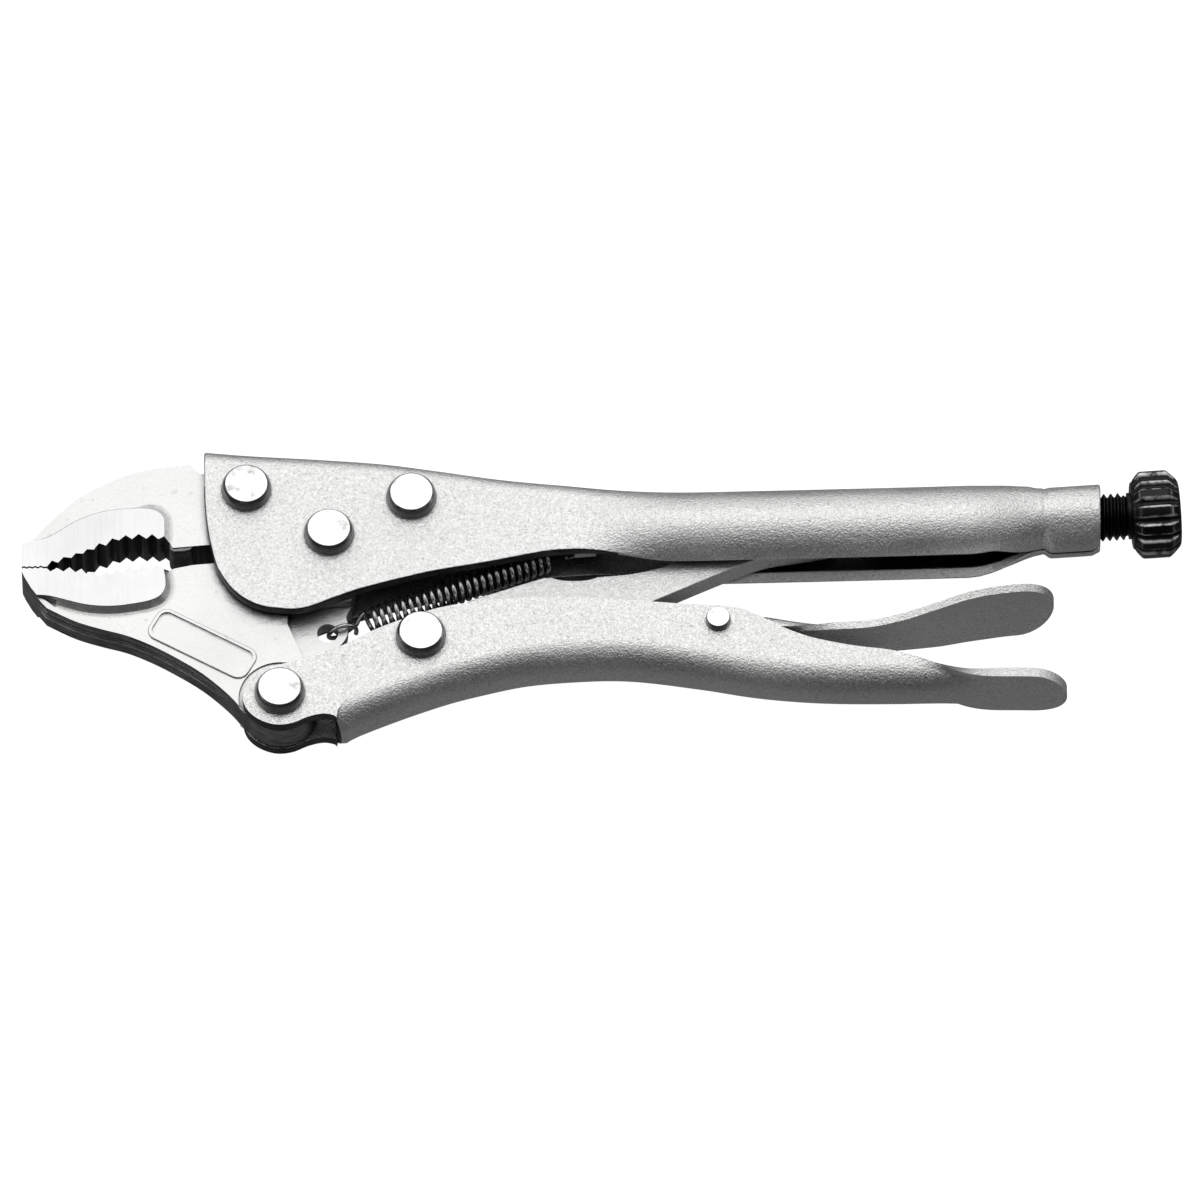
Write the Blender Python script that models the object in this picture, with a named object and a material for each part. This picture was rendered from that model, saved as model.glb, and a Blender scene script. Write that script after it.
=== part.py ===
# Locking pliers, curved jaws with a wire cutter, 250 mm long, closed and locked.
# The tool lies flat: +X runs along it from the jaws to the adjusting knob, +Y points from
# the lower handle to the upper handle, +Z is up through its thickness.
# The origin is on the jaw pivot's axis, level with the lowest rivet heads.
# Dimensions below are in millimetres; meshes are written in metres.
import bpy, bmesh, math

for o in list(bpy.data.objects):
    bpy.data.objects.remove(o, do_unlink=True)

MM = 0.001
MID_Z = 10.0                 # height of the tool's mid-plane
GAP = 0.3                    # clearance between touching pieces

# joint axes and rivets
JAW_PIVOT = (0.0, 0.0)
FRONT_RIVET = (-17.9, 11.0)
REAR_RIVET = (17.7, 9.0)
HANDLE_PIVOT = (-10.3, -38.9)
LINK_PIVOT = (19.9, -25.0)
RELEASE_PIVOT = (83.8, -21.0)
LINK_TAIL = (106.0, 3.5)     # where the link's tail meets the screw
SHANK_R, HOLE_R = 3.4, 3.7
HEAD_R, HEAD_TOP_R = 5.4, 4.5
PIN_R, PIN_HOLE_R, PIN_HEAD_R = 1.7, 2.0, 2.7

# upper handle: folded sheet, flat cheeks blending to a tube that is swaged at the tail
UPPER_T = 2.5
UPPER_HALF_W = 7.2
UPPER_CORNER_R = 4.0
TUBE_R = 10.0
TUBE_LIP_DEG = -60.0
TAIL_R, TAIL_BORE_R = 7.25, 5.5
TAIL_START, TAIL_END = 152.6, 166.4
UPPER_BACK = ((-27.1, 22.0), (-18.4, 21.2), (-1.9, 20.15), (11.9, 19.0), (22.8, 17.4),
              (36.6, 15.2), (48.5, 13.9), (60.0, 13.0), (75.9, 12.96), (90.7, 13.3),
              (123.0, 14.2), (144.6, 14.9), (151.0, 15.1))
UPPER_EDGE = ((-27.1, 13.9), (-27.0, 10.0), (-26.8, 6.5), (-26.4, 2.5), (-25.7, -1.8),
              (-24.4, -7.4), (-23.1, -10.2), (-21.0, -13.4), (-18.2, -16.0), (-14.5, -17.9),
              (-10.1, -18.6), (-6.8, -18.7), (-3.5, -17.9), (0.9, -16.0), (6.4, -13.8),
              (14.0, -11.5), (22.8, -9.2), (33.8, -7.1), (45.8, -4.5), (51.3, -3.9),
              (56.7, -3.6), (62.3, -3.6), (67.8, -4.3), (73.3, -5.4), (80.0, -5.6))

# lower handle: folded channel that opens to a finger paddle
LOWER_T = 2.5
LOWER_HALF_W = 6.4
LOWER_EDGE = ((-18.2, -38.6), (-17.6, -36.6), (-16.2, -34.7), (-14.0, -33.1), (-9.3, -31.6),
              (-2.7, -29.5), (3.9, -26.8), (9.8, -23.4), (16.0, -20.7), (23.7, -17.9),
              (32.5, -16.3), (41.3, -15.4), (50.1, -15.1), (58.9, -15.5), (67.7, -16.2),
              (76.5, -16.9), (83.8, -17.3), (88.5, -18.0), (92.5, -19.7), (97.0, -22.3),
              (103.0, -24.9), (109.6, -26.6), (115.7, -27.7), (121.6, -28.6), (128.0, -29.7),
              (134.0, -30.9), (139.0, -31.8), (144.0, -32.4))
LOWER_BOTTOM = ((-18.2, -58.0), (-4.0, -51.0), (2.0, -47.5), (6.0, -45.5), (13.8, -42.0), (20.4, -39.3),
                (27.0, -36.9), (34.0, -34.9), (42.0, -33.0), (52.0, -31.9), (64.0, -31.6),
                (79.7, -33.6), (92.3, -35.8), (105.0, -37.0), (121.6, -37.2), (134.0, -36.8),
                (145.0, -36.2), (159.0, -36.4))
EAR_UNDERSIDE = ((-19.5, -40.0), (-17.9, -41.6), (-16.6, -44.0), (-14.2, -45.8), (-11.0, -46.8),
                 (-7.6, -46.4), (-4.3, -44.9), (-1.1, -44.1), (1.3, -44.5), (2.8, -46.4),
                 (3.9, -48.9), (3.9, -62.0), (-19.5, -62.0))
PADDLE_HALF_W = 7.4
PADDLE_R = 38.0
PADDLE_ROUND = 151.4         # where the paddle's end starts to round
LOWER_TIP, RELEASE_TIP = 158.8, 156.2

# jaws
PAD_HALF_T, JAW_HALF_T, LOWER_BODY_HALF_T = 4.9, 4.4, 3.9
LUG_HALF_T, TAB_HALF_T = 3.45, 1.6
TAB_HOLE, TAB_HOLE_R = (-0.2, -21.5), 2.3
UPPER_JAW_TOP = ((-64.3, -0.4), (-59.9, 4.9), (-54.4, 10.3), (-48.9, 13.8), (-43.4, 16.4),
                 (-37.9, 17.9), (-32.4, 18.7), (-30.0, 18.9), (-29.1, 17.6), (-28.0, 16.65),
                 (-20.0, 16.8), (0.0, 15.6), (17.0, 13.6))
UPPER_PAD_EDGE = ((-60.2, 0.7), (-54.8, 4.4), (-49.5, 6.7), (-44.1, 7.6), (-39.4, 7.7),
                  (-37.0, 6.9), (-35.7, 5.25), (-35.5, 3.2))
UPPER_TEETH = ((-60.7, -6.8), (-59.7, -5.3), (-58.4, -5.9), (-57.2, -4.45), (-55.5, -4.65),
               (-54.6, -3.5), (-53.0, -3.6), (-52.2, -2.5), (-50.7, -2.6), (-49.6, -1.0),
               (-48.1, -1.6), (-46.8, 0.2), (-45.3, -0.3), (-43.9, 1.0), (-42.5, 0.0),
               (-41.1, 1.3), (-39.4, 0.1), (-38.2, 1.25), (-36.8, 0.0), (-35.5, 0.8))
LOWER_TEETH = ((-60.8, -7.15), (-60.0, -8.0), (-58.6, -7.1), (-57.2, -8.0), (-55.9, -6.95),
               (-54.6, -8.2), (-53.3, -7.3), (-52.0, -8.9), (-50.9, -8.2), (-49.5, -9.4),
               (-48.1, -8.4), (-46.8, -8.9), (-45.7, -7.6), (-44.3, -8.4), (-42.8, -6.8),
               (-41.4, -7.8), (-40.0, -6.5), (-38.6, -7.8), (-37.1, -6.5), (-35.6, -7.3))
LOWER_PAD_EDGE = ((-60.2, -14.0), (-56.6, -15.0), (-53.0, -16.0), (-49.5, -16.5),
                  (-45.9, -16.5), (-42.3, -16.0), (-38.7, -15.2), (-36.4, -14.0),
                  (-35.3, -12.1), (-35.2, -10.0))
LOWER_JAW_BOTTOM = ((-62.9, -13.8), (-61.0, -16.2), (-59.9, -17.0), (-54.4, -19.9), (-48.9, -21.8),
                    (-43.4, -23.4), (-37.9, -25.9), (-32.4, -29.1), (-26.9, -32.9),
                    (-21.4, -38.0), (-18.1, -42.1))
HUB_R, HUB_RELIEF_R, LUG_R, LUG_STEP_R = 9.6, 10.2, 7.8, 8.9

# toggle link, release lever
LINK_HALF_T = 2.65
LEVER_T = 1.7
LEVER_CORNER_R = 2.2
LEVER_LINE = ((63.0, -21.2), (72.0, -19.6), (80.0, -18.0), (86.0, -17.3), (93.0, -17.5),
              (100.6, -18.8), (110.7, -20.1), (117.0, -20.0), (124.0, -18.7), (131.0, -16.7),
              (138.0, -14.5), (144.5, -13.2), (151.0, -12.5), (156.5, -12.2))
LEVER_HALF_W = ((95.0, 3.5), (103.0, 4.0), (111.0, 4.9), (124.0, 6.9), (133.0, 8.9), (140.0, 9.8),
                (148.0, 9.9))
LEVER_R, LEVER_ROUND = 38.0, 148.4

# adjusting screw and knob, about an axis that climbs slightly towards the knob
SCREW_POINT, SCREW_SLOPE_DEG = (160.0, 7.7), 4.2
SCREW_R, SCREW_TIP, KNOB_START, KNOB_END = 5.15, 114.6, 173.2, 183.6
KNOB_R, KNOB_FLUTES, KNOB_FLUTE_DEPTH = 9.45, 14, 0.9

# tension spring
SPRING_R, WIRE_R, SPRING_PITCH = 2.6, 0.5, 1.65
SPRING_ANCHOR = (54.5, 1.2)

ANGLE = math.radians(SCREW_SLOPE_DEG)


def table(points, x):
    """Smooth curve through (x, y) points, with end values held."""
    if x <= points[0][0]:
        return points[0][1]
    if x >= points[-1][0]:
        return points[-1][1]
    n = len(points)
    for i in range(n - 1):
        x0, y0 = points[i]
        x1, y1 = points[i + 1]
        if x <= x1:
            h = x1 - x0
            s = (y1 - y0) / h
            s0 = s if i == 0 else (s + (y0 - points[i - 1][1]) / (x0 - points[i - 1][0])) / 2
            s1 = s if i == n - 2 else (s + (points[i + 2][1] - y1) / (points[i + 2][0] - x1)) / 2
            t = (x - x0) / h
            return ((2 * t ** 3 - 3 * t * t + 1) * y0 + (t ** 3 - 2 * t * t + t) * h * s0
                    + (3 * t * t - 2 * t ** 3) * y1 + (t ** 3 - t * t) * h * s1)


def step(x, a, b):
    t = min(1.0, max(0.0, (x - a) / (b - a)))
    return t * t * (3 - 2 * t)


def mix(a, b, t):
    return a + (b - a) * t


def arc(c, r, a0, a1, n):
    return [(c[0] + r * math.cos(math.radians(mix(a0, a1, i / n))),
             c[1] + r * math.sin(math.radians(mix(a0, a1, i / n)))) for i in range(n + 1)]


def material(name, colour, roughness, metallic=1.0):
    m = bpy.data.materials.new(name)
    m.use_nodes = True
    b = m.node_tree.nodes["Principled BSDF"]
    b.inputs["Base Color"].default_value = (*colour, 1)
    b.inputs["Roughness"].default_value = roughness
    b.inputs["Metallic"].default_value = metallic
    return m


NICKEL = material("satin_nickel", (0.72, 0.72, 0.70), 0.42)
FORGED = material("forged_nickel", (0.66, 0.66, 0.64), 0.45)
BRIGHT = material("bright_steel", (0.80, 0.80, 0.79), 0.22)
BLACK = material("black_oxide", (0.03, 0.03, 0.032), 0.38, 0.8)


def make(name, verts, faces, mat, origin=(0.0, 0.0), smooth=35, origin_z=MID_Z):
    """A mesh object from points in millimetres, heights counted from the mid-plane."""
    ox, oy = origin
    me = bpy.data.meshes.new(name)
    me.from_pydata([((x - ox) * MM, (y - oy) * MM, (z + MID_Z - origin_z) * MM)
                    for x, y, z in verts], [], faces)
    me.update()
    bm = bmesh.new()
    bm.from_mesh(me)
    bmesh.ops.recalc_face_normals(bm, faces=bm.faces)
    bmesh.ops.triangulate(bm, faces=[f for f in bm.faces if len(f.verts) > 4],
                          ngon_method='EAR_CLIP')
    bm.to_mesh(me)
    bm.free()
    me.materials.append(mat)
    me.shade_smooth()
    me.set_sharp_from_angle(angle=math.radians(smooth))
    ob = bpy.data.objects.new(name, me)
    ob.location = (ox * MM, oy * MM, origin_z * MM)
    bpy.context.scene.collection.objects.link(ob)
    return ob


def loft(rings):
    """Closed rings of 3-D points joined in order, with both ends filled."""
    verts, faces, n = [], [], len(rings[0])
    for r in rings:
        verts += r
    for i in range(len(rings) - 1):
        for j in range(n):
            k = (j + 1) % n
            faces.append((i * n + j, i * n + k, (i + 1) * n + k, (i + 1) * n + j))
    faces.append(tuple(range(n)))
    faces.append(tuple(range((len(rings) - 1) * n, len(rings) * n)))
    return verts, faces


def terraces(regions):
    """Flat plates side by side, each with its own lower and upper height, in one body.
    Neighbouring outlines share their points."""
    key = lambda p: (round(p[0], 4), round(p[1], 4))
    cols, edges, verts, ids, faces = {}, {}, [], {}, []
    outlines = []
    for pts, lo, hi in regions:
        area = sum(a[0] * b[1] - b[0] * a[1] for a, b in zip(pts, pts[1:] + pts[:1]))
        ks = [key(p) for p in (pts if area > 0 else pts[::-1])]
        outlines.append((ks, lo, hi))
        for k in ks:
            cols.setdefault(k, set()).update((lo, hi))
        for a, b in zip(ks, ks[1:] + ks[:1]):
            edges[(a, b)] = (lo, hi)

    def vid(k, z):
        if (k, z) not in ids:
            ids[(k, z)] = len(verts)
            verts.append((k[0], k[1], z))
        return ids[(k, z)]

    def wall(a, b, z0, z1):
        if z1 - z0 > 1e-6:
            faces.append(tuple([vid(a, z) for z in sorted(cols[a]) if z0 <= z <= z1][::-1]
                               + [vid(b, z) for z in sorted(cols[b]) if z0 <= z <= z1]))

    for ks, lo, hi in outlines:
        faces.append(tuple(vid(k, hi) for k in ks))
        faces.append(tuple(vid(k, lo) for k in reversed(ks)))
        for a, b in zip(ks, ks[1:] + ks[:1]):
            other = edges.get((b, a))
            if other is None:
                wall(a, b, lo, hi)
            else:
                wall(a, b, max(other[1], lo), hi)
                wall(a, b, lo, min(other[0], hi))
    return verts, faces


def cylinder(name, centre, r, z0, z1, sides, rot=None):
    """Upright round cutter."""
    ring = lambda z: [(centre[0] + r * math.cos(2 * math.pi * i / sides),
                       centre[1] + r * math.sin(2 * math.pi * i / sides), z) for i in range(sides)]
    v, f = loft([ring(z0), ring(z1)])
    return guide(make(name, v, f, NICKEL, centre))


def guide(ob):
    ob.hide_render = True
    ob.display_type = 'WIRE'
    return ob


def cut(ob, tool, op='DIFFERENCE'):
    m = ob.modifiers.new(op.lower() + "_" + tool.name, 'BOOLEAN')
    m.operation = op
    m.solver = 'EXACT'
    m.object = tool


# ------------------------------------------------------------------ upper handle
def upper_section(x, edge_y, n=(3, 3, 2)):
    b = step(x, 50.0, 78.0)
    c = step(x, 148.0, TAIL_START)
    lip = math.radians(mix(TUBE_LIP_DEG, -87.2, step(x, 142.0, TAIL_START)))
    axis_y = SCREW_POINT[1] + (x - SCREW_POINT[0]) * math.tan(ANGLE)
    back = table(UPPER_BACK, x)
    yc = mix(back - TUBE_R, axis_y, c)
    ring = []
    for outer in (True, False):
        t = 0.0 if outer else UPPER_T
        w, r = UPPER_HALF_W - t, UPPER_CORNER_R - t
        top = back - t
        rad = mix(TUBE_R, TAIL_R, c) if outer else mix(TUBE_R - UPPER_T, TAIL_BORE_R, c)
        half = []
        for part, (a0, a1) in zip(range(3), ((lip, math.radians(25)), (math.radians(25), math.radians(70)),
                                             (math.radians(70), math.radians(90)))):
            k = n[part]
            for i in range(k + (part == 2)):
                s = i / k
                a = mix(a0, a1, s)
                tube = (yc + rad * math.sin(a), rad * math.cos(a))
                if part == 0:
                    flat = (mix(edge_y, top - r, s), w)
                elif part == 1:
                    q = math.radians(90) * s
                    flat = (top - r + r * math.sin(q), w - r + r * math.cos(q))
                else:
                    flat = (top, mix(w - r, 0.0, s))
                half.append((mix(flat[0], tube[0], b), mix(flat[1], tube[1], b)))
        path = half + [(y, -z) for y, z in reversed(half[:-1])]
        ring += path if outer else path[::-1]
    return [(x, y, z) for y, z in ring]


stations = [p[0] for p in UPPER_EDGE] + [86, 93, 105, 118, 131, 142, 145.5, 148, 149.5, 151,
                                         TAIL_START, 154.5, 160, TAIL_END]
edge = dict(UPPER_EDGE)
v, f = loft([upper_section(x, edge.get(x, -5.6)) for x in stations])
upper_handle = make("upper_handle", v, f, NICKEL)
anchor_plate = guide(make("spring_anchor_tab", *loft(
    [[(x, y, z) for x, y in ((51.0, 12.2), (60.0, 11.6), (60.0, 5.0), (57.6, -0.9), (53.0, -1.3),
                             (51.8, 1.2))] for z in (-1.0, 1.0)]), NICKEL))
cut(upper_handle, anchor_plate, 'UNION')
for nm, c in (("jaw_pivot_hole", JAW_PIVOT), ("front_rivet_hole", FRONT_RIVET),
              ("rear_rivet_hole", REAR_RIVET)):
    cut(upper_handle, cylinder(nm, c, HOLE_R, -12, 12, 20))
cut(upper_handle, cylinder("anchor_hole", SPRING_ANCHOR, 1.3, -3, 3, 10))

# ------------------------------------------------------------------ upper jaw
tip_u = [(-66.2, -6.95), (-66.2, -2.4), (-65.9, -1.1), (-64.3, -0.4)]
pad_u = ([UPPER_TEETH[-1]] + list(reversed(UPPER_TEETH[:-1])) + tip_u + list(UPPER_PAD_EDGE))
body_u = (list(UPPER_JAW_TOP) + [(22.6, 12.0), (24.6, 8.4), (23.6, 4.6), (20.4, 2.4), (16.0, 2.2),
          (12.0, 3.2)] + arc(JAW_PIVOT, HUB_RELIEF_R, 22, 173, 9)
          + [(-25.7, -1.1), (-33.7, -1.9), UPPER_TEETH[-1]] + list(reversed(UPPER_PAD_EDGE)))
upper_jaw = make("upper_jaw", *terraces([(pad_u, -PAD_HALF_T, PAD_HALF_T),
                                         (body_u, -JAW_HALF_T, JAW_HALF_T)]), FORGED, smooth=25)
cut(upper_jaw, bpy.data.objects["front_rivet_hole"])
cut(upper_jaw, bpy.data.objects["rear_rivet_hole"])

# ------------------------------------------------------------------ lower jaw
hub_l, hub_r, hub_mid = (-22.0, -5.2), (4.8, -15.0), (-8.6, -16.6)
lug_k, lug_m = (-5.2, -29.6), LOWER_JAW_BOTTOM[-1]
hub_line = [(-14.5, -15.0), (-19.5, -10.5)]
lug_line = arc(HANDLE_PIVOT, LUG_STEP_R, 196, 84, 7)
pad_l = ([(-66.2, -7.3)] + list(LOWER_TEETH) + list(reversed(LOWER_PAD_EDGE))
         + [LOWER_JAW_BOTTOM[0], (-64.1, -12.1), (-65.5, -9.6), (-66.2, -8.0)])
hub = ([hub_l, (-13.0, -4.8)] + arc(JAW_PIVOT, HUB_R, 209, -50, 16) + [hub_r, hub_mid] + hub_line)
tab = [hub_r, (3.8, -17.4), (4.2, -19.8), (3.7, -22.8), (1.2, -25.7), lug_k, (-8.9, -20.3), hub_mid]
lug = [lug_k, (-3.6, -33.6)] + arc(HANDLE_PIVOT, LUG_R, 30, -150, 12) + [lug_m] + lug_line
body_l = ([LOWER_TEETH[-1], (-33.6, -6.8), (-29.5, -5.85), (-24.8, -5.4), hub_l]
          + list(reversed(hub_line)) + [hub_mid, (-8.9, -20.3), lug_k] + list(reversed(lug_line))
          + list(reversed(LOWER_JAW_BOTTOM)) + list(LOWER_PAD_EDGE))
lower_jaw = make("lower_jaw", *terraces([
    (pad_l, -PAD_HALF_T, PAD_HALF_T), (body_l, -LOWER_BODY_HALF_T, LOWER_BODY_HALF_T),
    (hub, -JAW_HALF_T, JAW_HALF_T), (tab, -TAB_HALF_T, TAB_HALF_T),
    (lug, -LUG_HALF_T, LUG_HALF_T)]), FORGED, JAW_PIVOT, 25)
cut(lower_jaw, bpy.data.objects["jaw_pivot_hole"])
cut(lower_jaw, cylinder("handle_pivot_hole", HANDLE_PIVOT, HOLE_R, -12, 12, 20))
cut(lower_jaw, cylinder("tab_hole", TAB_HOLE, TAB_HOLE_R, -6, 6, 14))


# ------------------------------------------------------------------ lower handle
def channel_section(x, edge_y, bottom, w, b, t, paddle_w, radius, n=(2, 6), flip=1.0):
    """Channel with a round bottom (b = 0) opening to a shallow dish (b = 1)."""
    ring = []
    for outer in (True, False):
        o = 0.0 if outer else t
        half = []
        r = radius - o
        lip = math.asin(min(1.0, paddle_w / radius))
        for part in (0, 1):
            k = n[part]
            for i in range(k + (part == 1)):
                s = i / k
                if part == 0:
                    flat = (mix(edge_y, bottom + flip * w, s), w - o)
                else:
                    q = math.radians(90) * s
                    flat = (bottom + flip * (w - (w - o) * math.sin(q)), (w - o) * math.cos(q))
                a = lip * (1 - (i + (0 if part == 0 else n[0])) / (n[0] + n[1]))
                dish = (bottom + flip * (radius - r * math.cos(a)), r * math.sin(a))
                half.append((mix(flat[0], dish[0], b), mix(flat[1], dish[1], b)))
        path = half + [(y, -z) for y, z in reversed(half[:-1])]
        ring += path if outer else path[::-1]
    return [(x, y, z) for y, z in ring]


def paddle_width(x, start, tip, full):
    if x <= start:
        return full
    return max(0.9, full * math.sqrt(max(0.0, 1 - ((x - start) / (tip - start)) ** 2)))


def lower_section(x):
    b = step(x, 118.0, 146.0)
    half = mix(LOWER_HALF_W, PADDLE_HALF_W, step(x, 112.0, 138.0))
    bottom = table(LOWER_BOTTOM, x)
    return channel_section(x, table(LOWER_EDGE, x), bottom, LOWER_HALF_W, b, LOWER_T,
                           paddle_width(x, PADDLE_ROUND, LOWER_TIP, half), PADDLE_R)


stations = ([p[0] for p in LOWER_EDGE] + [149.0, PADDLE_ROUND]
            + [PADDLE_ROUND + (LOWER_TIP - PADDLE_ROUND) * math.sin(math.radians(a)) for a in (20, 38, 54, 68, 80, 89.9)])
v, f = loft([lower_section(x) for x in stations])
lower_handle = make("lower_handle", v, f, NICKEL, HANDLE_PIVOT)
ear_cutter = guide(make("ear_underside_cutter", *loft(
    [[(x, y, z) for x, y in EAR_UNDERSIDE] for z in (-12.0, 12.0)]), NICKEL))
cut(lower_handle, ear_cutter)
cut(lower_handle, bpy.data.objects["handle_pivot_hole"])
cut(lower_handle, cylinder("link_pivot_hole", LINK_PIVOT, HOLE_R, -12, 12, 20))
cut(lower_handle, cylinder("release_pin_hole", RELEASE_PIVOT, PIN_HOLE_R, -12, 12, 12))

# ------------------------------------------------------------------ toggle link
link = (arc(LINK_PIVOT, 6.2, 112, 292, 10) + [(45.0, -24.2), (60.0, -18.8), (70.6, -13.8), (91.0, -4.2),
        (99.0, -2.2)] + arc(LINK_TAIL, 4.4, -70, 100, 8) + [(96.0, 5.2), (82.0, -1.2), (72.0, -5.4),
        (65.0, -7.2), (58.0, -7.9), (56.6, -8.8), (49.6, -8.8), (48.2, -8.0), (46.2, -8.2), (41.3, -9.9),
        (36.9, -11.5), (32.5, -13.1), (26.0, -16.2)])
toggle_link = make("toggle_link", *terraces([(link, -LINK_HALF_T, LINK_HALF_T)]), NICKEL, LINK_PIVOT, 25)
cut(toggle_link, bpy.data.objects["link_pivot_hole"])


# ------------------------------------------------------------------ release lever
def lever_section(x):
    b = step(x, 94.0, 112.0)
    depth = 0.6 + 5.0 * (step(x, 72.0, 79.0) - step(x, 87.5, 96.0))
    line = table(LEVER_LINE, x)
    half = table(LEVER_HALF_W, x)
    w = 3.5
    ring = []
    tip_w = paddle_width(x, LEVER_ROUND, RELEASE_TIP, half)
    lip = math.asin(tip_w / LEVER_R)
    for outer in (True, False):
        o = 0.0 if outer else LEVER_T
        half_path = []
        for i in range(7):
            c = LEVER_CORNER_R
            if i < 2:
                flat = (line - c - mix(depth, 0.0, i / 2), w - o)
            elif i < 6:
                q = math.radians(90) * (i - 2) / 3
                flat = (line - c + (c - o) * math.sin(q), w - c + (c - o) * math.cos(q))
            else:
                flat = (line - o, 0.0)
            a = lip * (1 - i / 6)
            r = LEVER_R - o
            dish = (line - LEVER_R + r * math.cos(a), r * math.sin(a))
            half_path.append((mix(flat[0], dish[0], b), mix(flat[1], dish[1], b)))
        path = half_path + [(y, -z) for y, z in reversed(half_path[:-1])]
        ring += path if outer else path[::-1]
    return [(x, y, z) for y, z in ring]


stations = ([63, 68, 72, 75.5, 79, 84, 88, 91, 94, 97, 101, 106, 112, 118, 124, 131, 138, 144, LEVER_ROUND]
            + [LEVER_ROUND + (RELEASE_TIP - LEVER_ROUND) * math.sin(math.radians(a)) for a in (22, 42, 60, 76, 89.9)])
v, f = loft([lever_section(x) for x in stations])
release_lever = make("release_lever", v, f, NICKEL, RELEASE_PIVOT)
cut(release_lever, bpy.data.objects["release_pin_hole"])


# ------------------------------------------------------------------ rivets
def turned(name, centre, profile, sides, mat):
    """Round piece on an upright axis: (radius, height) pairs from bottom to top."""
    rings = [[(centre[0] + r * math.cos(2 * math.pi * i / sides),
               centre[1] + r * math.sin(2 * math.pi * i / sides), z) for i in range(sides)]
             for r, z in profile]
    v, f = loft(rings)
    return make(name, v, f, mat, centre)


def rivet(name, centre, seat, top, shank=SHANK_R, rim=HEAD_R, flat=HEAD_TOP_R, sides=18):
    s = seat + GAP
    up = [(shank, s), (rim, s), (rim, top - 1.0), (rim - 0.3, top - 0.45), (flat, top)]
    turned(name, centre, [(r, -z) for r, z in reversed(up)] + up, sides, BRIGHT)


rivet("jaw_pivot_rivet", JAW_PIVOT, UPPER_HALF_W, MID_Z)
rivet("upper_jaw_front_rivet", FRONT_RIVET, UPPER_HALF_W, MID_Z)
rivet("upper_jaw_rear_rivet", REAR_RIVET, UPPER_HALF_W, MID_Z)
rivet("handle_pivot_rivet", HANDLE_PIVOT, LOWER_HALF_W, 9.2)
rivet("link_pivot_rivet", LINK_PIVOT, LOWER_HALF_W, 9.2)
rivet("release_lever_pin", RELEASE_PIVOT, LOWER_HALF_W, 8.1, PIN_R, PIN_HEAD_R, 2.35, 12)


# ------------------------------------------------------------------ adjusting screw and knob
def on_screw(x, r, a):
    """Point at radius r and angle a round the screw's axis, where the axis passes x."""
    s, c = math.sin(ANGLE), math.cos(ANGLE)
    d = (x - SCREW_POINT[0]) / c
    y, z = r * math.sin(a), r * math.cos(a)
    return (SCREW_POINT[0] + d * c - y * s, SCREW_POINT[1] + d * s + y * c, z)


def screw_ring(x, r, n):
    return [on_screw(x, r, 2 * math.pi * i / n) for i in range(n)]


profile = [(SCREW_TIP, 2.2), (SCREW_TIP + 0.9, 3.9), (SCREW_TIP + 3.0, SCREW_R), (171.3, SCREW_R),
           (171.9, 4.3), (KNOB_START - GAP, 4.3)]
v, f = loft([screw_ring(x, r, 20) for x, r in profile])
adjusting_screw = make("adjusting_screw", v, f, BLACK, SCREW_POINT)


def knob_ring(x, r, depth):
    pts = []
    n = KNOB_FLUTES * 4
    for i in range(n):
        k = (0.0, 0.0, 0.75, 0.75)[i % 4] * depth
        pts.append(on_screw(x, r - k, 2 * math.pi * (i + (0.25 if i % 4 == 0 else -0.25 if i % 4 == 1 else
                                                       0.1 if i % 4 == 2 else -0.1)) / n))
    return pts


v, f = loft([knob_ring(x, r, d * KNOB_FLUTE_DEPTH) for x, r, d in
             ((KNOB_START, 7.3, 0.0), (KNOB_START + 1.0, 8.5, 0.5), (KNOB_START + 2.4, KNOB_R, 1.0),
              (KNOB_END - 3.0, KNOB_R, 1.0), (KNOB_END - 1.2, 8.4, 0.5), (KNOB_END, 6.6, 0.0))])
adjusting_knob = make("adjusting_knob", v, f, BLACK, SCREW_POINT)


# ------------------------------------------------------------------ tension spring
def spring_path(per_turn=8):
    """Hook through the jaw's tab, close coils, hook through the handle's tab."""
    ax, ay = TAB_HOLE
    bx, by = SPRING_ANCHOR
    length = math.hypot(bx - ax, by - ay)
    ux, uy = (bx - ax) / length, (by - ay) / length
    place = lambda s, h, z: (ax + ux * s - uy * h, ay + uy * s + ux * h, z)
    loop_r, start, end = 3.0, 9.6, length - 8.0
    pts = []
    c0 = 3.3
    for i in range(15):                       # front hook, an open loop through the tab's hole
        a = math.radians(mix(-30, 305, i / 14))
        pts.append(place(c0 + loop_r * math.cos(a), mix(-1.0, 1.0, i / 14), loop_r * math.sin(a)))
    pts.append(place(c0 + 3.9, 1.2, -1.2))
    turns = round((end - start) / SPRING_PITCH)
    for i in range(turns * per_turn + 1):
        a = 2 * math.pi * i / per_turn
        s = mix(start, end, i / (turns * per_turn))
        pts.append(place(s, SPRING_R * math.cos(a), -SPRING_R * math.sin(a)))
    c1 = length - 2.1
    pts.append(place(c1 - 3.4, 1.4, 1.2))
    for i in range(13):                       # rear hook
        a = math.radians(mix(120, -170, i / 12))
        pts.append(place(c1 + 2.1 * math.cos(a), mix(0.9, -0.9, i / 12), 2.1 * math.sin(a)))
    return pts


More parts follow.
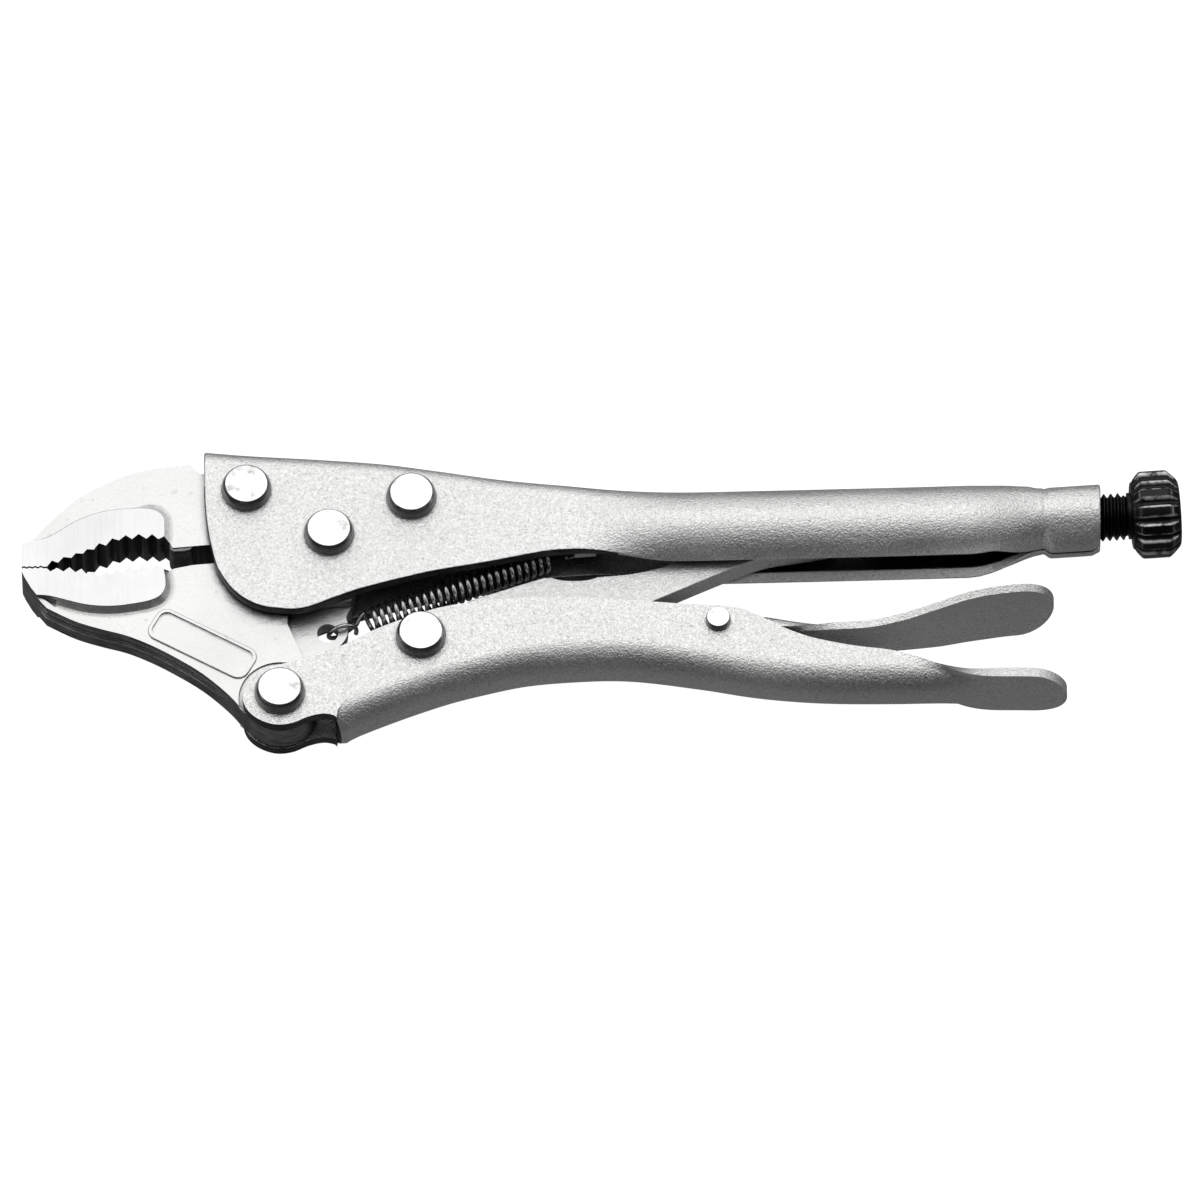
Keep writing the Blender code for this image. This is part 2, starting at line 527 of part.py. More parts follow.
def wire(points, r, sides=5):
    rings = []
    side = None
    for i, p in enumerate(points):
        a, b = points[max(0, i - 1)], points[min(len(points) - 1, i + 1)]
        d = [b[k] - a[k] for k in range(3)]
        m = math.sqrt(sum(c * c for c in d))
        d = [c / m for c in d]
        if side is None:
            side = [0.0, 0.0, 1.0] if abs(d[2]) < 0.8 else [0.0, 1.0, 0.0]
        dot = sum(side[k] * d[k] for k in range(3))
        side = [side[k] - dot * d[k] for k in range(3)]
        m = math.sqrt(sum(c * c for c in side))
        side = [c / m for c in side]
        up = [d[1] * side[2] - d[2] * side[1], d[2] * side[0] - d[0] * side[2],
              d[0] * side[1] - d[1] * side[0]]
        rings.append([tuple(p[k] + r * (math.cos(2 * math.pi * j / sides) * side[k]
                                        + math.sin(2 * math.pi * j / sides) * up[k])
                            for k in range(3)) for j in range(sides)])
    return loft(rings)


v, f = wire(spring_path(), WIRE_R)
tension_spring = make("tension_spring", v, f, BRIGHT, TAB_HOLE, 60)
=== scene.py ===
# Looks of the locking pliers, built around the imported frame.
import bpy, bmesh, math
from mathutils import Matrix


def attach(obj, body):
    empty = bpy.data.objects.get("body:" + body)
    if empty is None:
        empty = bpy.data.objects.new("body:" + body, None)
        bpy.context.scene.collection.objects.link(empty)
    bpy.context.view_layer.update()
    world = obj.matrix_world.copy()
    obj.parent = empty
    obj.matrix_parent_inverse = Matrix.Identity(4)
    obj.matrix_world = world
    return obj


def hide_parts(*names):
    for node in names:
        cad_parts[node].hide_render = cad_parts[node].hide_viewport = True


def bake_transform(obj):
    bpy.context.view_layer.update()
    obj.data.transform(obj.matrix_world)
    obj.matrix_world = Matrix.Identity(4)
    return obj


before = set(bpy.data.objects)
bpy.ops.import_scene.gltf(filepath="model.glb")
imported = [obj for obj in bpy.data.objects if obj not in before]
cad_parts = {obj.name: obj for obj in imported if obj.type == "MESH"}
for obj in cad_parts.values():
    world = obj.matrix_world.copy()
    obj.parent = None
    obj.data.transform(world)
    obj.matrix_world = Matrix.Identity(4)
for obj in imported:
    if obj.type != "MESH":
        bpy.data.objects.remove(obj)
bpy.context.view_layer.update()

MM = 0.001
MID_Z = 10.0                 # height of the tool's mid-plane
GAP = 0.3                    # clearance between touching pieces

# joint axes and rivets
JAW_PIVOT = (0.0, 0.0)
FRONT_RIVET = (-17.9, 11.0)
REAR_RIVET = (17.7, 9.0)
HANDLE_PIVOT = (-10.3, -38.9)
LINK_PIVOT = (19.9, -25.0)
RELEASE_PIVOT = (83.8, -21.0)
LINK_TAIL = (106.0, 3.5)     # where the link's tail meets the screw
SHANK_R, HOLE_R = 3.4, 3.7
HEAD_R, HEAD_TOP_R = 5.4, 4.5
PIN_R, PIN_HOLE_R, PIN_HEAD_R = 1.7, 2.0, 2.7

# upper handle: folded sheet, flat cheeks blending to a tube that is swaged at the tail
UPPER_T = 2.5
UPPER_HALF_W = 7.2
UPPER_CORNER_R = 4.0
TUBE_R = 10.0
TUBE_LIP_DEG = -60.0
TAIL_R, TAIL_BORE_R = 7.25, 5.5
TAIL_START, TAIL_END = 152.6, 166.4
UPPER_BACK = ((-27.1, 22.0), (-18.4, 21.2), (-1.9, 20.15), (11.9, 19.0), (22.8, 17.4),
              (36.6, 15.2), (48.5, 13.9), (60.0, 13.0), (75.9, 12.96), (90.7, 13.3),
              (123.0, 14.2), (144.6, 14.9), (151.0, 15.1))
UPPER_EDGE = ((-27.1, 13.9), (-27.0, 10.0), (-26.8, 6.5), (-26.4, 2.5), (-25.7, -1.8),
              (-24.4, -7.4), (-23.1, -10.2), (-21.0, -13.4), (-18.2, -16.0), (-14.5, -17.9),
              (-10.1, -18.6), (-6.8, -18.7), (-3.5, -17.9), (0.9, -16.0), (6.4, -13.8),
              (14.0, -11.5), (22.8, -9.2), (33.8, -7.1), (45.8, -4.5), (51.3, -3.9),
              (56.7, -3.6), (62.3, -3.6), (67.8, -4.3), (73.3, -5.4), (80.0, -5.6))

# lower handle: folded channel that opens to a finger paddle
LOWER_T = 2.5
LOWER_HALF_W = 6.4
LOWER_EDGE = ((-18.2, -38.6), (-17.6, -36.6), (-16.2, -34.7), (-14.0, -33.1), (-9.3, -31.6),
              (-2.7, -29.5), (3.9, -26.8), (9.8, -23.4), (16.0, -20.7), (23.7, -17.9),
              (32.5, -16.3), (41.3, -15.4), (50.1, -15.1), (58.9, -15.5), (67.7, -16.2),
              (76.5, -16.9), (83.8, -17.3), (88.5, -18.0), (92.5, -19.7), (97.0, -22.3),
              (103.0, -24.9), (109.6, -26.6), (115.7, -27.7), (121.6, -28.6), (128.0, -29.7),
              (134.0, -30.9), (139.0, -31.8), (144.0, -32.4))
LOWER_BOTTOM = ((-18.2, -58.0), (-4.0, -51.0), (2.0, -47.5), (6.0, -45.5), (13.8, -42.0), (20.4, -39.3),
                (27.0, -36.9), (34.0, -34.9), (42.0, -33.0), (52.0, -31.9), (64.0, -31.6),
                (79.7, -33.6), (92.3, -35.8), (105.0, -37.0), (121.6, -37.2), (134.0, -36.8),
                (145.0, -36.2), (159.0, -36.4))
EAR_UNDERSIDE = ((-19.5, -40.0), (-17.9, -41.6), (-16.6, -44.0), (-14.2, -45.8), (-11.0, -46.8),
                 (-7.6, -46.4), (-4.3, -44.9), (-1.1, -44.1), (1.3, -44.5), (2.8, -46.4),
                 (3.9, -48.9), (3.9, -62.0), (-19.5, -62.0))
PADDLE_HALF_W = 7.4
PADDLE_R = 38.0
PADDLE_ROUND = 151.4         # where the paddle's end starts to round
LOWER_TIP, RELEASE_TIP = 158.8, 156.2

# jaws
PAD_HALF_T, JAW_HALF_T, LOWER_BODY_HALF_T = 4.9, 4.4, 3.9
LUG_HALF_T, TAB_HALF_T = 3.45, 1.6
TAB_HOLE, TAB_HOLE_R = (-0.2, -21.5), 2.3
UPPER_JAW_TOP = ((-64.3, -0.4), (-59.9, 4.9), (-54.4, 10.3), (-48.9, 13.8), (-43.4, 16.4),
                 (-37.9, 17.9), (-32.4, 18.7), (-30.0, 18.9), (-29.1, 17.6), (-28.0, 16.65),
                 (-20.0, 16.8), (0.0, 15.6), (17.0, 13.6))
UPPER_PAD_EDGE = ((-60.2, 0.7), (-54.8, 4.4), (-49.5, 6.7), (-44.1, 7.6), (-39.4, 7.7),
                  (-37.0, 6.9), (-35.7, 5.25), (-35.5, 3.2))
UPPER_TEETH = ((-60.7, -6.8), (-59.7, -5.3), (-58.4, -5.9), (-57.2, -4.45), (-55.5, -4.65),
               (-54.6, -3.5), (-53.0, -3.6), (-52.2, -2.5), (-50.7, -2.6), (-49.6, -1.0),
               (-48.1, -1.6), (-46.8, 0.2), (-45.3, -0.3), (-43.9, 1.0), (-42.5, 0.0),
               (-41.1, 1.3), (-39.4, 0.1), (-38.2, 1.25), (-36.8, 0.0), (-35.5, 0.8))
LOWER_TEETH = ((-60.8, -7.15), (-60.0, -8.0), (-58.6, -7.1), (-57.2, -8.0), (-55.9, -6.95),
               (-54.6, -8.2), (-53.3, -7.3), (-52.0, -8.9), (-50.9, -8.2), (-49.5, -9.4),
               (-48.1, -8.4), (-46.8, -8.9), (-45.7, -7.6), (-44.3, -8.4), (-42.8, -6.8),
               (-41.4, -7.8), (-40.0, -6.5), (-38.6, -7.8), (-37.1, -6.5), (-35.6, -7.3))
LOWER_PAD_EDGE = ((-60.2, -14.0), (-56.6, -15.0), (-53.0, -16.0), (-49.5, -16.5),
                  (-45.9, -16.5), (-42.3, -16.0), (-38.7, -15.2), (-36.4, -14.0),
                  (-35.3, -12.1), (-35.2, -10.0))
LOWER_JAW_BOTTOM = ((-62.9, -13.8), (-61.0, -16.2), (-59.9, -17.0), (-54.4, -19.9), (-48.9, -21.8),
                    (-43.4, -23.4), (-37.9, -25.9), (-32.4, -29.1), (-26.9, -32.9),
                    (-21.4, -38.0), (-18.1, -42.1))
HUB_R, HUB_RELIEF_R, LUG_R, LUG_STEP_R = 9.6, 10.2, 7.8, 8.9

# toggle link, release lever
LINK_HALF_T = 2.65
LEVER_T = 1.7
LEVER_CORNER_R = 2.2
LEVER_LINE = ((63.0, -21.2), (72.0, -19.6), (80.0, -18.0), (86.0, -17.3), (93.0, -17.5),
              (100.6, -18.8), (110.7, -20.1), (117.0, -20.0), (124.0, -18.7), (131.0, -16.7),
              (138.0, -14.5), (144.5, -13.2), (151.0, -12.5), (156.5, -12.2))
LEVER_HALF_W = ((95.0, 3.5), (103.0, 4.0), (111.0, 4.9), (124.0, 6.9), (133.0, 8.9), (140.0, 9.8),
                (148.0, 9.9))
LEVER_R, LEVER_ROUND = 38.0, 148.4

# adjusting screw and knob, about an axis that climbs slightly towards the knob
SCREW_POINT, SCREW_SLOPE_DEG = (160.0, 7.7), 4.2
SCREW_R, SCREW_TIP, KNOB_START, KNOB_END = 5.15, 114.6, 173.2, 183.6
KNOB_R, KNOB_FLUTES, KNOB_FLUTE_DEPTH = 9.45, 14, 0.9

# tension spring
SPRING_R, WIRE_R, SPRING_PITCH = 2.6, 0.5, 1.65
SPRING_ANCHOR = (54.5, 1.2)

ANGLE = math.radians(SCREW_SLOPE_DEG)


def table(points, x):
    """Smooth curve through (x, y) points, with end values held."""
    if x <= points[0][0]:
        return points[0][1]
    if x >= points[-1][0]:
        return points[-1][1]
    n = len(points)
    for i in range(n - 1):
        x0, y0 = points[i]
        x1, y1 = points[i + 1]
        if x <= x1:
            h = x1 - x0
            s = (y1 - y0) / h
            s0 = s if i == 0 else (s + (y0 - points[i - 1][1]) / (x0 - points[i - 1][0])) / 2
            s1 = s if i == n - 2 else (s + (points[i + 2][1] - y1) / (points[i + 2][0] - x1)) / 2
            t = (x - x0) / h
            return ((2 * t ** 3 - 3 * t * t + 1) * y0 + (t ** 3 - 2 * t * t + t) * h * s0
                    + (3 * t * t - 2 * t ** 3) * y1 + (t ** 3 - t * t) * h * s1)


def step(x, a, b):
    t = min(1.0, max(0.0, (x - a) / (b - a)))
    return t * t * (3 - 2 * t)


def mix(a, b, t):
    return a + (b - a) * t


def arc(c, r, a0, a1, n):
    return [(c[0] + r * math.cos(math.radians(mix(a0, a1, i / n))),
             c[1] + r * math.sin(math.radians(mix(a0, a1, i / n)))) for i in range(n + 1)]


# ================================================================== materials
def nodes_of(mat):
    t = mat.node_tree
    return t, t.nodes, t.links


def bump_chain(mat, layers):
    """layers: (height output socket, strength, distance in metres). Returns the last normal socket."""
    t, n, l = nodes_of(mat)
    last = None
    for sock, strength, dist in layers:
        b = n.new("ShaderNodeBump")
        b.inputs["Strength"].default_value = strength
        b.inputs["Distance"].default_value = dist
        l.new(sock, b.inputs["Height"])
        if last:
            l.new(last, b.inputs["Normal"])
        last = b.outputs["Normal"]
    return last


def noise(mat, scale, detail=3.0, rough=0.55, stretch=(1, 1, 1), offset=(0, 0, 0), rot=(0, 0, 0)):
    t, n, l = nodes_of(mat)
    tc = n.new("ShaderNodeTexCoord")
    mp = n.new("ShaderNodeMapping")
    mp.inputs["Scale"].default_value = stretch
    mp.inputs["Location"].default_value = offset
    mp.inputs["Rotation"].default_value = rot
    nz = n.new("ShaderNodeTexNoise")
    nz.inputs["Scale"].default_value = scale
    nz.inputs["Detail"].default_value = detail
    nz.inputs["Roughness"].default_value = rough
    l.new(tc.outputs["Object"], mp.inputs["Vector"])
    l.new(mp.outputs["Vector"], nz.inputs["Vector"])
    return nz.outputs["Fac"]


def ramp(mat, fac, stops):
    t, n, l = nodes_of(mat)
    r = n.new("ShaderNodeValToRGB")
    e = r.color_ramp.elements
    while len(e) < len(stops):
        e.new(0.5)
    for el, (p, c) in zip(e, stops):
        el.position = p
        el.color = (*c, 1) if len(c) == 3 else c
    l.new(fac, r.inputs["Fac"])
    return r.outputs["Color"]


def rng(mat, fac, a, b, lo=0.3, hi=0.7):
    t, n, l = nodes_of(mat)
    m = n.new("ShaderNodeMapRange")
    m.inputs["From Min"].default_value = lo
    m.inputs["From Max"].default_value = hi
    m.inputs["To Min"].default_value = a
    m.inputs["To Max"].default_value = b
    l.new(fac, m.inputs["Value"])
    return m.outputs["Result"]


def math_node(mat, op, a, b):
    t, n, l = nodes_of(mat)
    m = n.new("ShaderNodeMath")
    m.operation = op
    for i, v in enumerate((a, b)):
        if isinstance(v, (int, float)):
            m.inputs[i].default_value = v
        else:
            l.new(v, m.inputs[i])
    return m.outputs[0]


def principled(name, metallic=1.0):
    mat = bpy.data.materials.new(name)
    mat.use_nodes = True
    b = mat.node_tree.nodes["Principled BSDF"]
    b.inputs["Metallic"].default_value = metallic
    return mat, b


def pointiness(mat):
    t, n, l = nodes_of(mat)
    g = n.new("ShaderNodeNewGeometry")
    return g.outputs["Pointiness"]


def scaled(mat, colour, factor):
    """Colour times a grey factor."""
    t, n, l = nodes_of(mat)
    m = n.new("ShaderNodeVectorMath")
    m.operation = 'SCALE'
    l.new(colour, m.inputs[0])
    if isinstance(factor, (int, float)):
        m.inputs["Scale"].default_value = factor
    else:
        l.new(factor, m.inputs["Scale"])
    return m.outputs[0]


def painted_crevice_shade(mat, reach=0.0030, dark=0.10, lo=0.22, hi=0.62):
    """Painted shade: a factor that falls in corners and narrow gaps, and inside the folded channels, where shade
    gathers.
    """
    t, n, l = nodes_of(mat)
    parts = []
    for distance, d, a, b in ((reach, dark, lo, hi), (0.014, 0.04, 0.08, 0.33)):
        ao = n.new("ShaderNodeAmbientOcclusion")
        ao.samples = 8
        ao.inputs["Distance"].default_value = distance
        parts.append(rng(mat, ao.outputs["AO"], d, 1.0, a, b))
    return math_node(mat, 'MULTIPLY', *parts)


def satin_nickel(name, base=0.80, rough=(0.34, 0.46), grain=1.0, tone=(1.0, 0.997, 0.99)):
    """Nickel plate over sandblasted sheet: fine pebbled grain, dark speckle, slight cloudiness."""
    mat, b = principled(name)
    t, n, l = nodes_of(mat)
    fine = noise(mat, 2300, 2.0, 0.6)
    pebble = noise(mat, 1050, 2.0, 0.5, offset=(3, 1, 2))
    cloud = noise(mat, 38, 4.0, 0.6, offset=(1, 5, 0))
    speck = noise(mat, 1500, 1.0, 0.5, offset=(9, 4, 7))
    scratch = noise(mat, 90, 2.0, 0.5, stretch=(1, 26, 6), rot=(0, 0, 0.5))
    col = ramp(mat, cloud, [(0.30, tuple(base * 0.93 * c for c in tone)), (0.70, tuple(base * 1.04 * c for c in tone))])
    col = scaled(mat, col, rng(mat, fine, 0.79, 1.07, 0.32, 0.66))
    col = scaled(mat, col, rng(mat, speck, 0.74, 1.0, 0.25, 0.38))
    # painted shade in corners, gaps and the folded channels
    col = scaled(mat, col, painted_crevice_shade(mat, 0.0034, 0.04, 0.20, 0.66))
    l.new(col, b.inputs["Base Color"])
    r1 = rng(mat, cloud, rough[0], rough[1])
    r2 = rng(mat, pebble, -0.05, 0.07)
    l.new(math_node(mat, 'ADD', r1, r2), b.inputs["Roughness"])
    scr = rng(mat, scratch, 0.0, 1.0, 0.62, 0.70)
    l.new(bump_chain(mat, [(pebble, 0.5 * grain, 0.00013), (fine, 1.0 * grain, 0.00017),
                           (scr, 0.08, 0.00004)]), b.inputs["Normal"])
    return mat


def forged_steel(name, base=0.765, rough=(0.36, 0.5)):
    """Plated forging: soft orange-peel surface, tiny pits and fine speckle."""
    mat, b = principled(name)
    t, n, l = nodes_of(mat)
    peel = noise(mat, 420, 3.0, 0.55)
    fine = noise(mat, 1900, 2.0, 0.6)
    pits = noise(mat, 520, 1.0, 0.4, offset=(7, 2, 1))
    cloud = noise(mat, 30, 4.0, 0.6)
    tone = (1.0, 0.997, 0.99)
    col = ramp(mat, cloud, [(0.3, tuple(base * 0.94 * c for c in tone)), (0.7, tuple(base * 1.05 * c for c in tone))])
    pit = rng(mat, pits, 1.0, 0.0, 0.22, 0.30)
    col = scaled(mat, col, rng(mat, fine, 0.88, 1.04, 0.32, 0.66))
    col = scaled(mat, col, rng(mat, pit, 1.0, 0.86, 0.0, 1.0))
    # painted shade in corners, gaps and the folded channels
    col = scaled(mat, col, painted_crevice_shade(mat, 0.0030, 0.03, 0.22, 0.64))
    l.new(col, b.inputs["Base Color"])
    l.new(math_node(mat, 'ADD', rng(mat, cloud, *rough), rng(mat, fine, -0.05, 0.05)), b.inputs["Roughness"])
    l.new(bump_chain(mat, [(peel, 0.55, 0.00022), (fine, 0.55, 0.00008), (pit, -0.5, 0.00012)]),
          b.inputs["Normal"])
    return mat


def ground_steel(name, base=0.80):
    """Ground faces: fine parallel lines across the tool."""
    mat, b = principled(name)
    t, n, l = nodes_of(mat)
    lines = noise(mat, 1900, 3.0, 0.65, stretch=(1, 0.035, 1))
    lines2 = noise(mat, 420, 2.0, 0.5, stretch=(1, 0.05, 1), offset=(2, 0, 0))
    cloud = noise(mat, 50, 3.0, 0.6)
    col = ramp(mat, lines, [(0.3, (base * 0.92,) * 3), (0.62, (base * 1.04,) * 3)])
    # painted shade in corners and narrow gaps
    col = scaled(mat, col, painted_crevice_shade(mat, 0.0010, 0.35, 0.30, 0.60))
    l.new(col, b.inputs["Base Color"])
    l.new(math_node(mat, 'ADD', rng(mat, lines, 0.30, 0.44), rng(mat, cloud, -0.04, 0.05)), b.inputs["Roughness"])
    b.inputs["Anisotropic"].default_value = 0.35
    l.new(bump_chain(mat, [(lines, 0.35, 0.00005), (lines2, 0.2, 0.00005)]), b.inputs["Normal"])
    return mat


def teeth_painted_shade(name):
    """Broached tooth flanks: near-black painted shade, with score lines from face to face."""
    mat, b = principled(name)
    t, n, l = nodes_of(mat)
    lines = noise(mat, 1500, 2.0, 0.6, stretch=(1, 1, 0.02))
    cloud = noise(mat, 300, 3.0, 0.6)
    col = ramp(mat, lines, [(0.35, (0.010,) * 3), (0.58, (0.035,) * 3), (0.70, (0.22,) * 3)])
    # painted shade in corners and narrow gaps
    col = scaled(mat, col, painted_crevice_shade(mat, 0.0015, 0.3, 0.2, 0.6))
    l.new(col, b.inputs["Base Color"])
    l.new(rng(mat, cloud, 0.28, 0.42), b.inputs["Roughness"])
    l.new(bump_chain(mat, [(lines, 0.6, 0.00010), (cloud, 0.3, 0.00006)]), b.inputs["Normal"])
    return mat


def edge_streaks_and_shade(name, base=0.26):
    """Blanked and forged edges: streaks that follow the sheet, on a dark base that is painted shade for walls turned
    from the light.
    """
    mat, b = principled(name)
    t, n, l = nodes_of(mat)
    bands = noise(mat, 1300, 2.0, 0.6, stretch=(0.22, 0.22, 1))
    fine = noise(mat, 1900, 2.0, 0.6)
    cloud = noise(mat, 110, 3.0, 0.6, offset=(2, 6, 1))
    col = ramp(mat, bands, [(0.34, (base * 0.45,) * 3), (0.52, (base,) * 3), (0.68, (base * 1.45,) * 3)])
    col = scaled(mat, col, rng(mat, cloud, 0.55, 1.15))
    # painted shade in corners and narrow gaps
    col = scaled(mat, col, painted_crevice_shade(mat, 0.0024, 0.08, 0.2, 0.62))
    l.new(col, b.inputs["Base Color"])
    l.new(math_node(mat, 'ADD', rng(mat, bands, 0.34, 0.50), rng(mat, fine, -0.04, 0.05)), b.inputs["Roughness"])
    l.new(bump_chain(mat, [(bands, 0.6, 0.00012), (fine, 0.6, 0.00008)]), b.inputs["Normal"])
    return mat


def bright_steel(name, base=0.86, rough=(0.16, 0.30), reach=0.0022, side=1.0):
    """Upset rivet steel, polished by handling; the barrel below the top face is darkened as painted shade."""
    mat, b = principled(name)
    t, n, l = nodes_of(mat)
    cloud = noise(mat, 230, 3.0, 0.6)
    fine = noise(mat, 1500, 2.0, 0.5)
    pits = noise(mat, 900, 1.0, 0.4, offset=(4, 4, 4))
    col = ramp(mat, cloud, [(0.3, (base * 0.92, base * 0.92, base * 0.91)), (0.7, (base * 1.04,) * 3)])
    col = scaled(mat, col, rng(mat, pits, 0.72, 1.0, 0.25, 0.33))
    # painted shade: faces turned sideways, like the barrel, are darker than the top face
    if side < 1:
        tc = n.new("ShaderNodeNewGeometry")
        sep = n.new("ShaderNodeSeparateXYZ")
        l.new(tc.outputs["True Normal"], sep.inputs[0])
        up = math_node(mat, 'ABSOLUTE', sep.outputs["Z"], 0.0)
        col = scaled(mat, col, rng(mat, math_node(mat, 'ADD', up, rng(mat, cloud, -0.2, 0.2)), side, 1.0, 0.70, 0.97))
    # painted shade in corners and narrow gaps
    col = scaled(mat, col, painted_crevice_shade(mat, reach, 0.12, 0.25, 0.6))
    l.new(col, b.inputs["Base Color"])
    l.new(math_node(mat, 'ADD', rng(mat, cloud, *rough), rng(mat, fine, -0.02, 0.04)), b.inputs["Roughness"])
    l.new(bump_chain(mat, [(cloud, 0.35, 0.00014), (fine, 0.25, 0.00005)]), b.inputs["Normal"])
    return mat


def black_oxide(name):
    """Black oxide with a little oil; edges marked on the mesh are painted bright, partly wear and partly painted
    highlight.
    """
    mat, b = principled(name, 0.9)
    t, n, l = nodes_of(mat)
    cloud = noise(mat, 420, 3.0, 0.65)
    fine = noise(mat, 1500, 2.0, 0.6)
    at = n.new("ShaderNodeAttribute")
    at.attribute_name = "wear_and_highlight"
    # marked edges painted bright: wear and painted highlight
    rubbed_and_highlit = math_node(mat, 'MULTIPLY', at.outputs["Fac"], rng(mat, cloud, 0.35, 1.0, 0.36, 0.58))
    base = ramp(mat, rubbed_and_highlit, [(0.0, (0.010, 0.010, 0.011)), (0.35, (0.035, 0.035, 0.037)), (1.0, (0.80, 0.80, 0.81))])
    # painted shade in corners and narrow gaps
    l.new(scaled(mat, base, painted_crevice_shade(mat, 0.0012, 0.3, 0.2, 0.6)), b.inputs["Base Color"])
    rgh = math_node(mat, 'ADD', rng(mat, cloud, 0.22, 0.42), rng(mat, fine, -0.04, 0.05))
    l.new(math_node(mat, 'ADD', rgh, rng(mat, rubbed_and_highlit, 0.0, 0.22, 0.0, 1.0)), b.inputs["Roughness"])
    l.new(bump_chain(mat, [(cloud, 0.3, 0.00012), (fine, 0.40, 0.00006)]), b.inputs["Normal"])
    b.inputs["Coat Weight"].default_value = 0.15
    b.inputs["Coat Roughness"].default_value = 0.2
    return mat


NICKEL = satin_nickel("satin_nickel_sheet", base=0.84)
LINKMAT = satin_nickel("satin_nickel_link", base=0.76, rough=(0.36, 0.5), grain=0.8)
FORGED = forged_steel("forged_nickel_plate")
GROUND = ground_steel("ground_jaw_pad", 0.70)
TEETH = teeth_painted_shade("jaw_teeth_painted_shade")
BRIGHT = bright_steel("bright_rivet_steel", side=0.26)
# dark edge materials, painted shade: the first for jaw and flash walls turned from the light, the second, near-black,
# for the handle lips and ear edges
SHEARED_STREAKS_AND_SHADE = edge_streaks_and_shade("dark_edge_streaks_and_painted_shade")
BLANKED_EDGE_SHADE = edge_streaks_and_shade("blanked_edge_painted_shade", 0.085)
SPRINGMAT = bright_steel("bright_spring_wire", 0.50, (0.18, 0.30), 0.0012)
BLACK = black_oxide("black_oxide_steel")


# ================================================================== mesh helpers
def make(name, verts, faces, mats, smooth=40):
    me = bpy.data.meshes.new(name)
    me.from_pydata([(x * MM, y * MM, (z + MID_Z) * MM) for x, y, z in verts], [], faces)
    me.update()
    bm = bmesh.new()
    bm.from_mesh(me)
    bmesh.ops.recalc_face_normals(bm, faces=bm.faces)
    bm.to_mesh(me)
    bm.free()
    for m in (mats if isinstance(mats, (list, tuple)) else [mats]):
        me.materials.append(m)
    me.shade_smooth()
    ob = bpy.data.objects.new(name, me)
    bpy.context.scene.collection.objects.link(ob)
    return ob


def edit(ob, fn):
    bm = bmesh.new()
    bm.from_mesh(ob.data)
    fn(bm)
    bmesh.ops.recalc_face_normals(bm, faces=bm.faces)
    bm.to_mesh(ob.data)
    bm.free()
    ob.data.update()


def bevel(ob, width, segments=3, angle=35, name="edge_round"):
    m = ob.modifiers.new(name, 'BEVEL')
    m.width = width * MM
    m.segments = segments
    m.limit_method = 'ANGLE'
    m.angle_limit = math.radians(angle)
    m.miter_outer = 'MITER_ARC'
    m.harden_normals = False
    m.use_clamp_overlap = True
    return m


def boolean(ob, tool, op='DIFFERENCE'):
    m = ob.modifiers.new(op.lower(), 'BOOLEAN')
    m.operation = op
    m.solver = 'EXACT'
    m.object = tool


def apply_all(ob):
    dg = bpy.context.evaluated_depsgraph_get()
    me = bpy.data.meshes.new_from_object(ob.evaluated_get(dg))
    old = ob.data
    ob.modifiers.clear()
    ob.data = me
    bpy.data.meshes.remove(old)


def discard(*obs):
    for o in obs:
        bpy.data.objects.remove(o, do_unlink=True)


def finish_shading(ob, angle=50, weighted=True):
    ob.data.shade_smooth()
    ob.data.set_sharp_from_angle(angle=math.radians(angle))
    if weighted:
        m = ob.modifiers.new("weighted", 'WEIGHTED_NORMAL')
        m.keep_sharp = True
        m.weight = 60


def stand_in(ob, body, node):
    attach(ob, body)
    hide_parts(node)


def loft(rings, caps=True):
    verts, faces, n = [], [], len(rings[0])
    for r in rings:
        verts += r
    for i in range(len(rings) - 1):
        for j in range(n):
            k = (j + 1) % n
            faces.append((i * n + j, i * n + k, (i + 1) * n + k, (i + 1) * n + j))
    if caps:
        faces.append(tuple(range(n)))
        faces.append(tuple(range((len(rings) - 1) * n, len(rings) * n)))
    return verts, faces


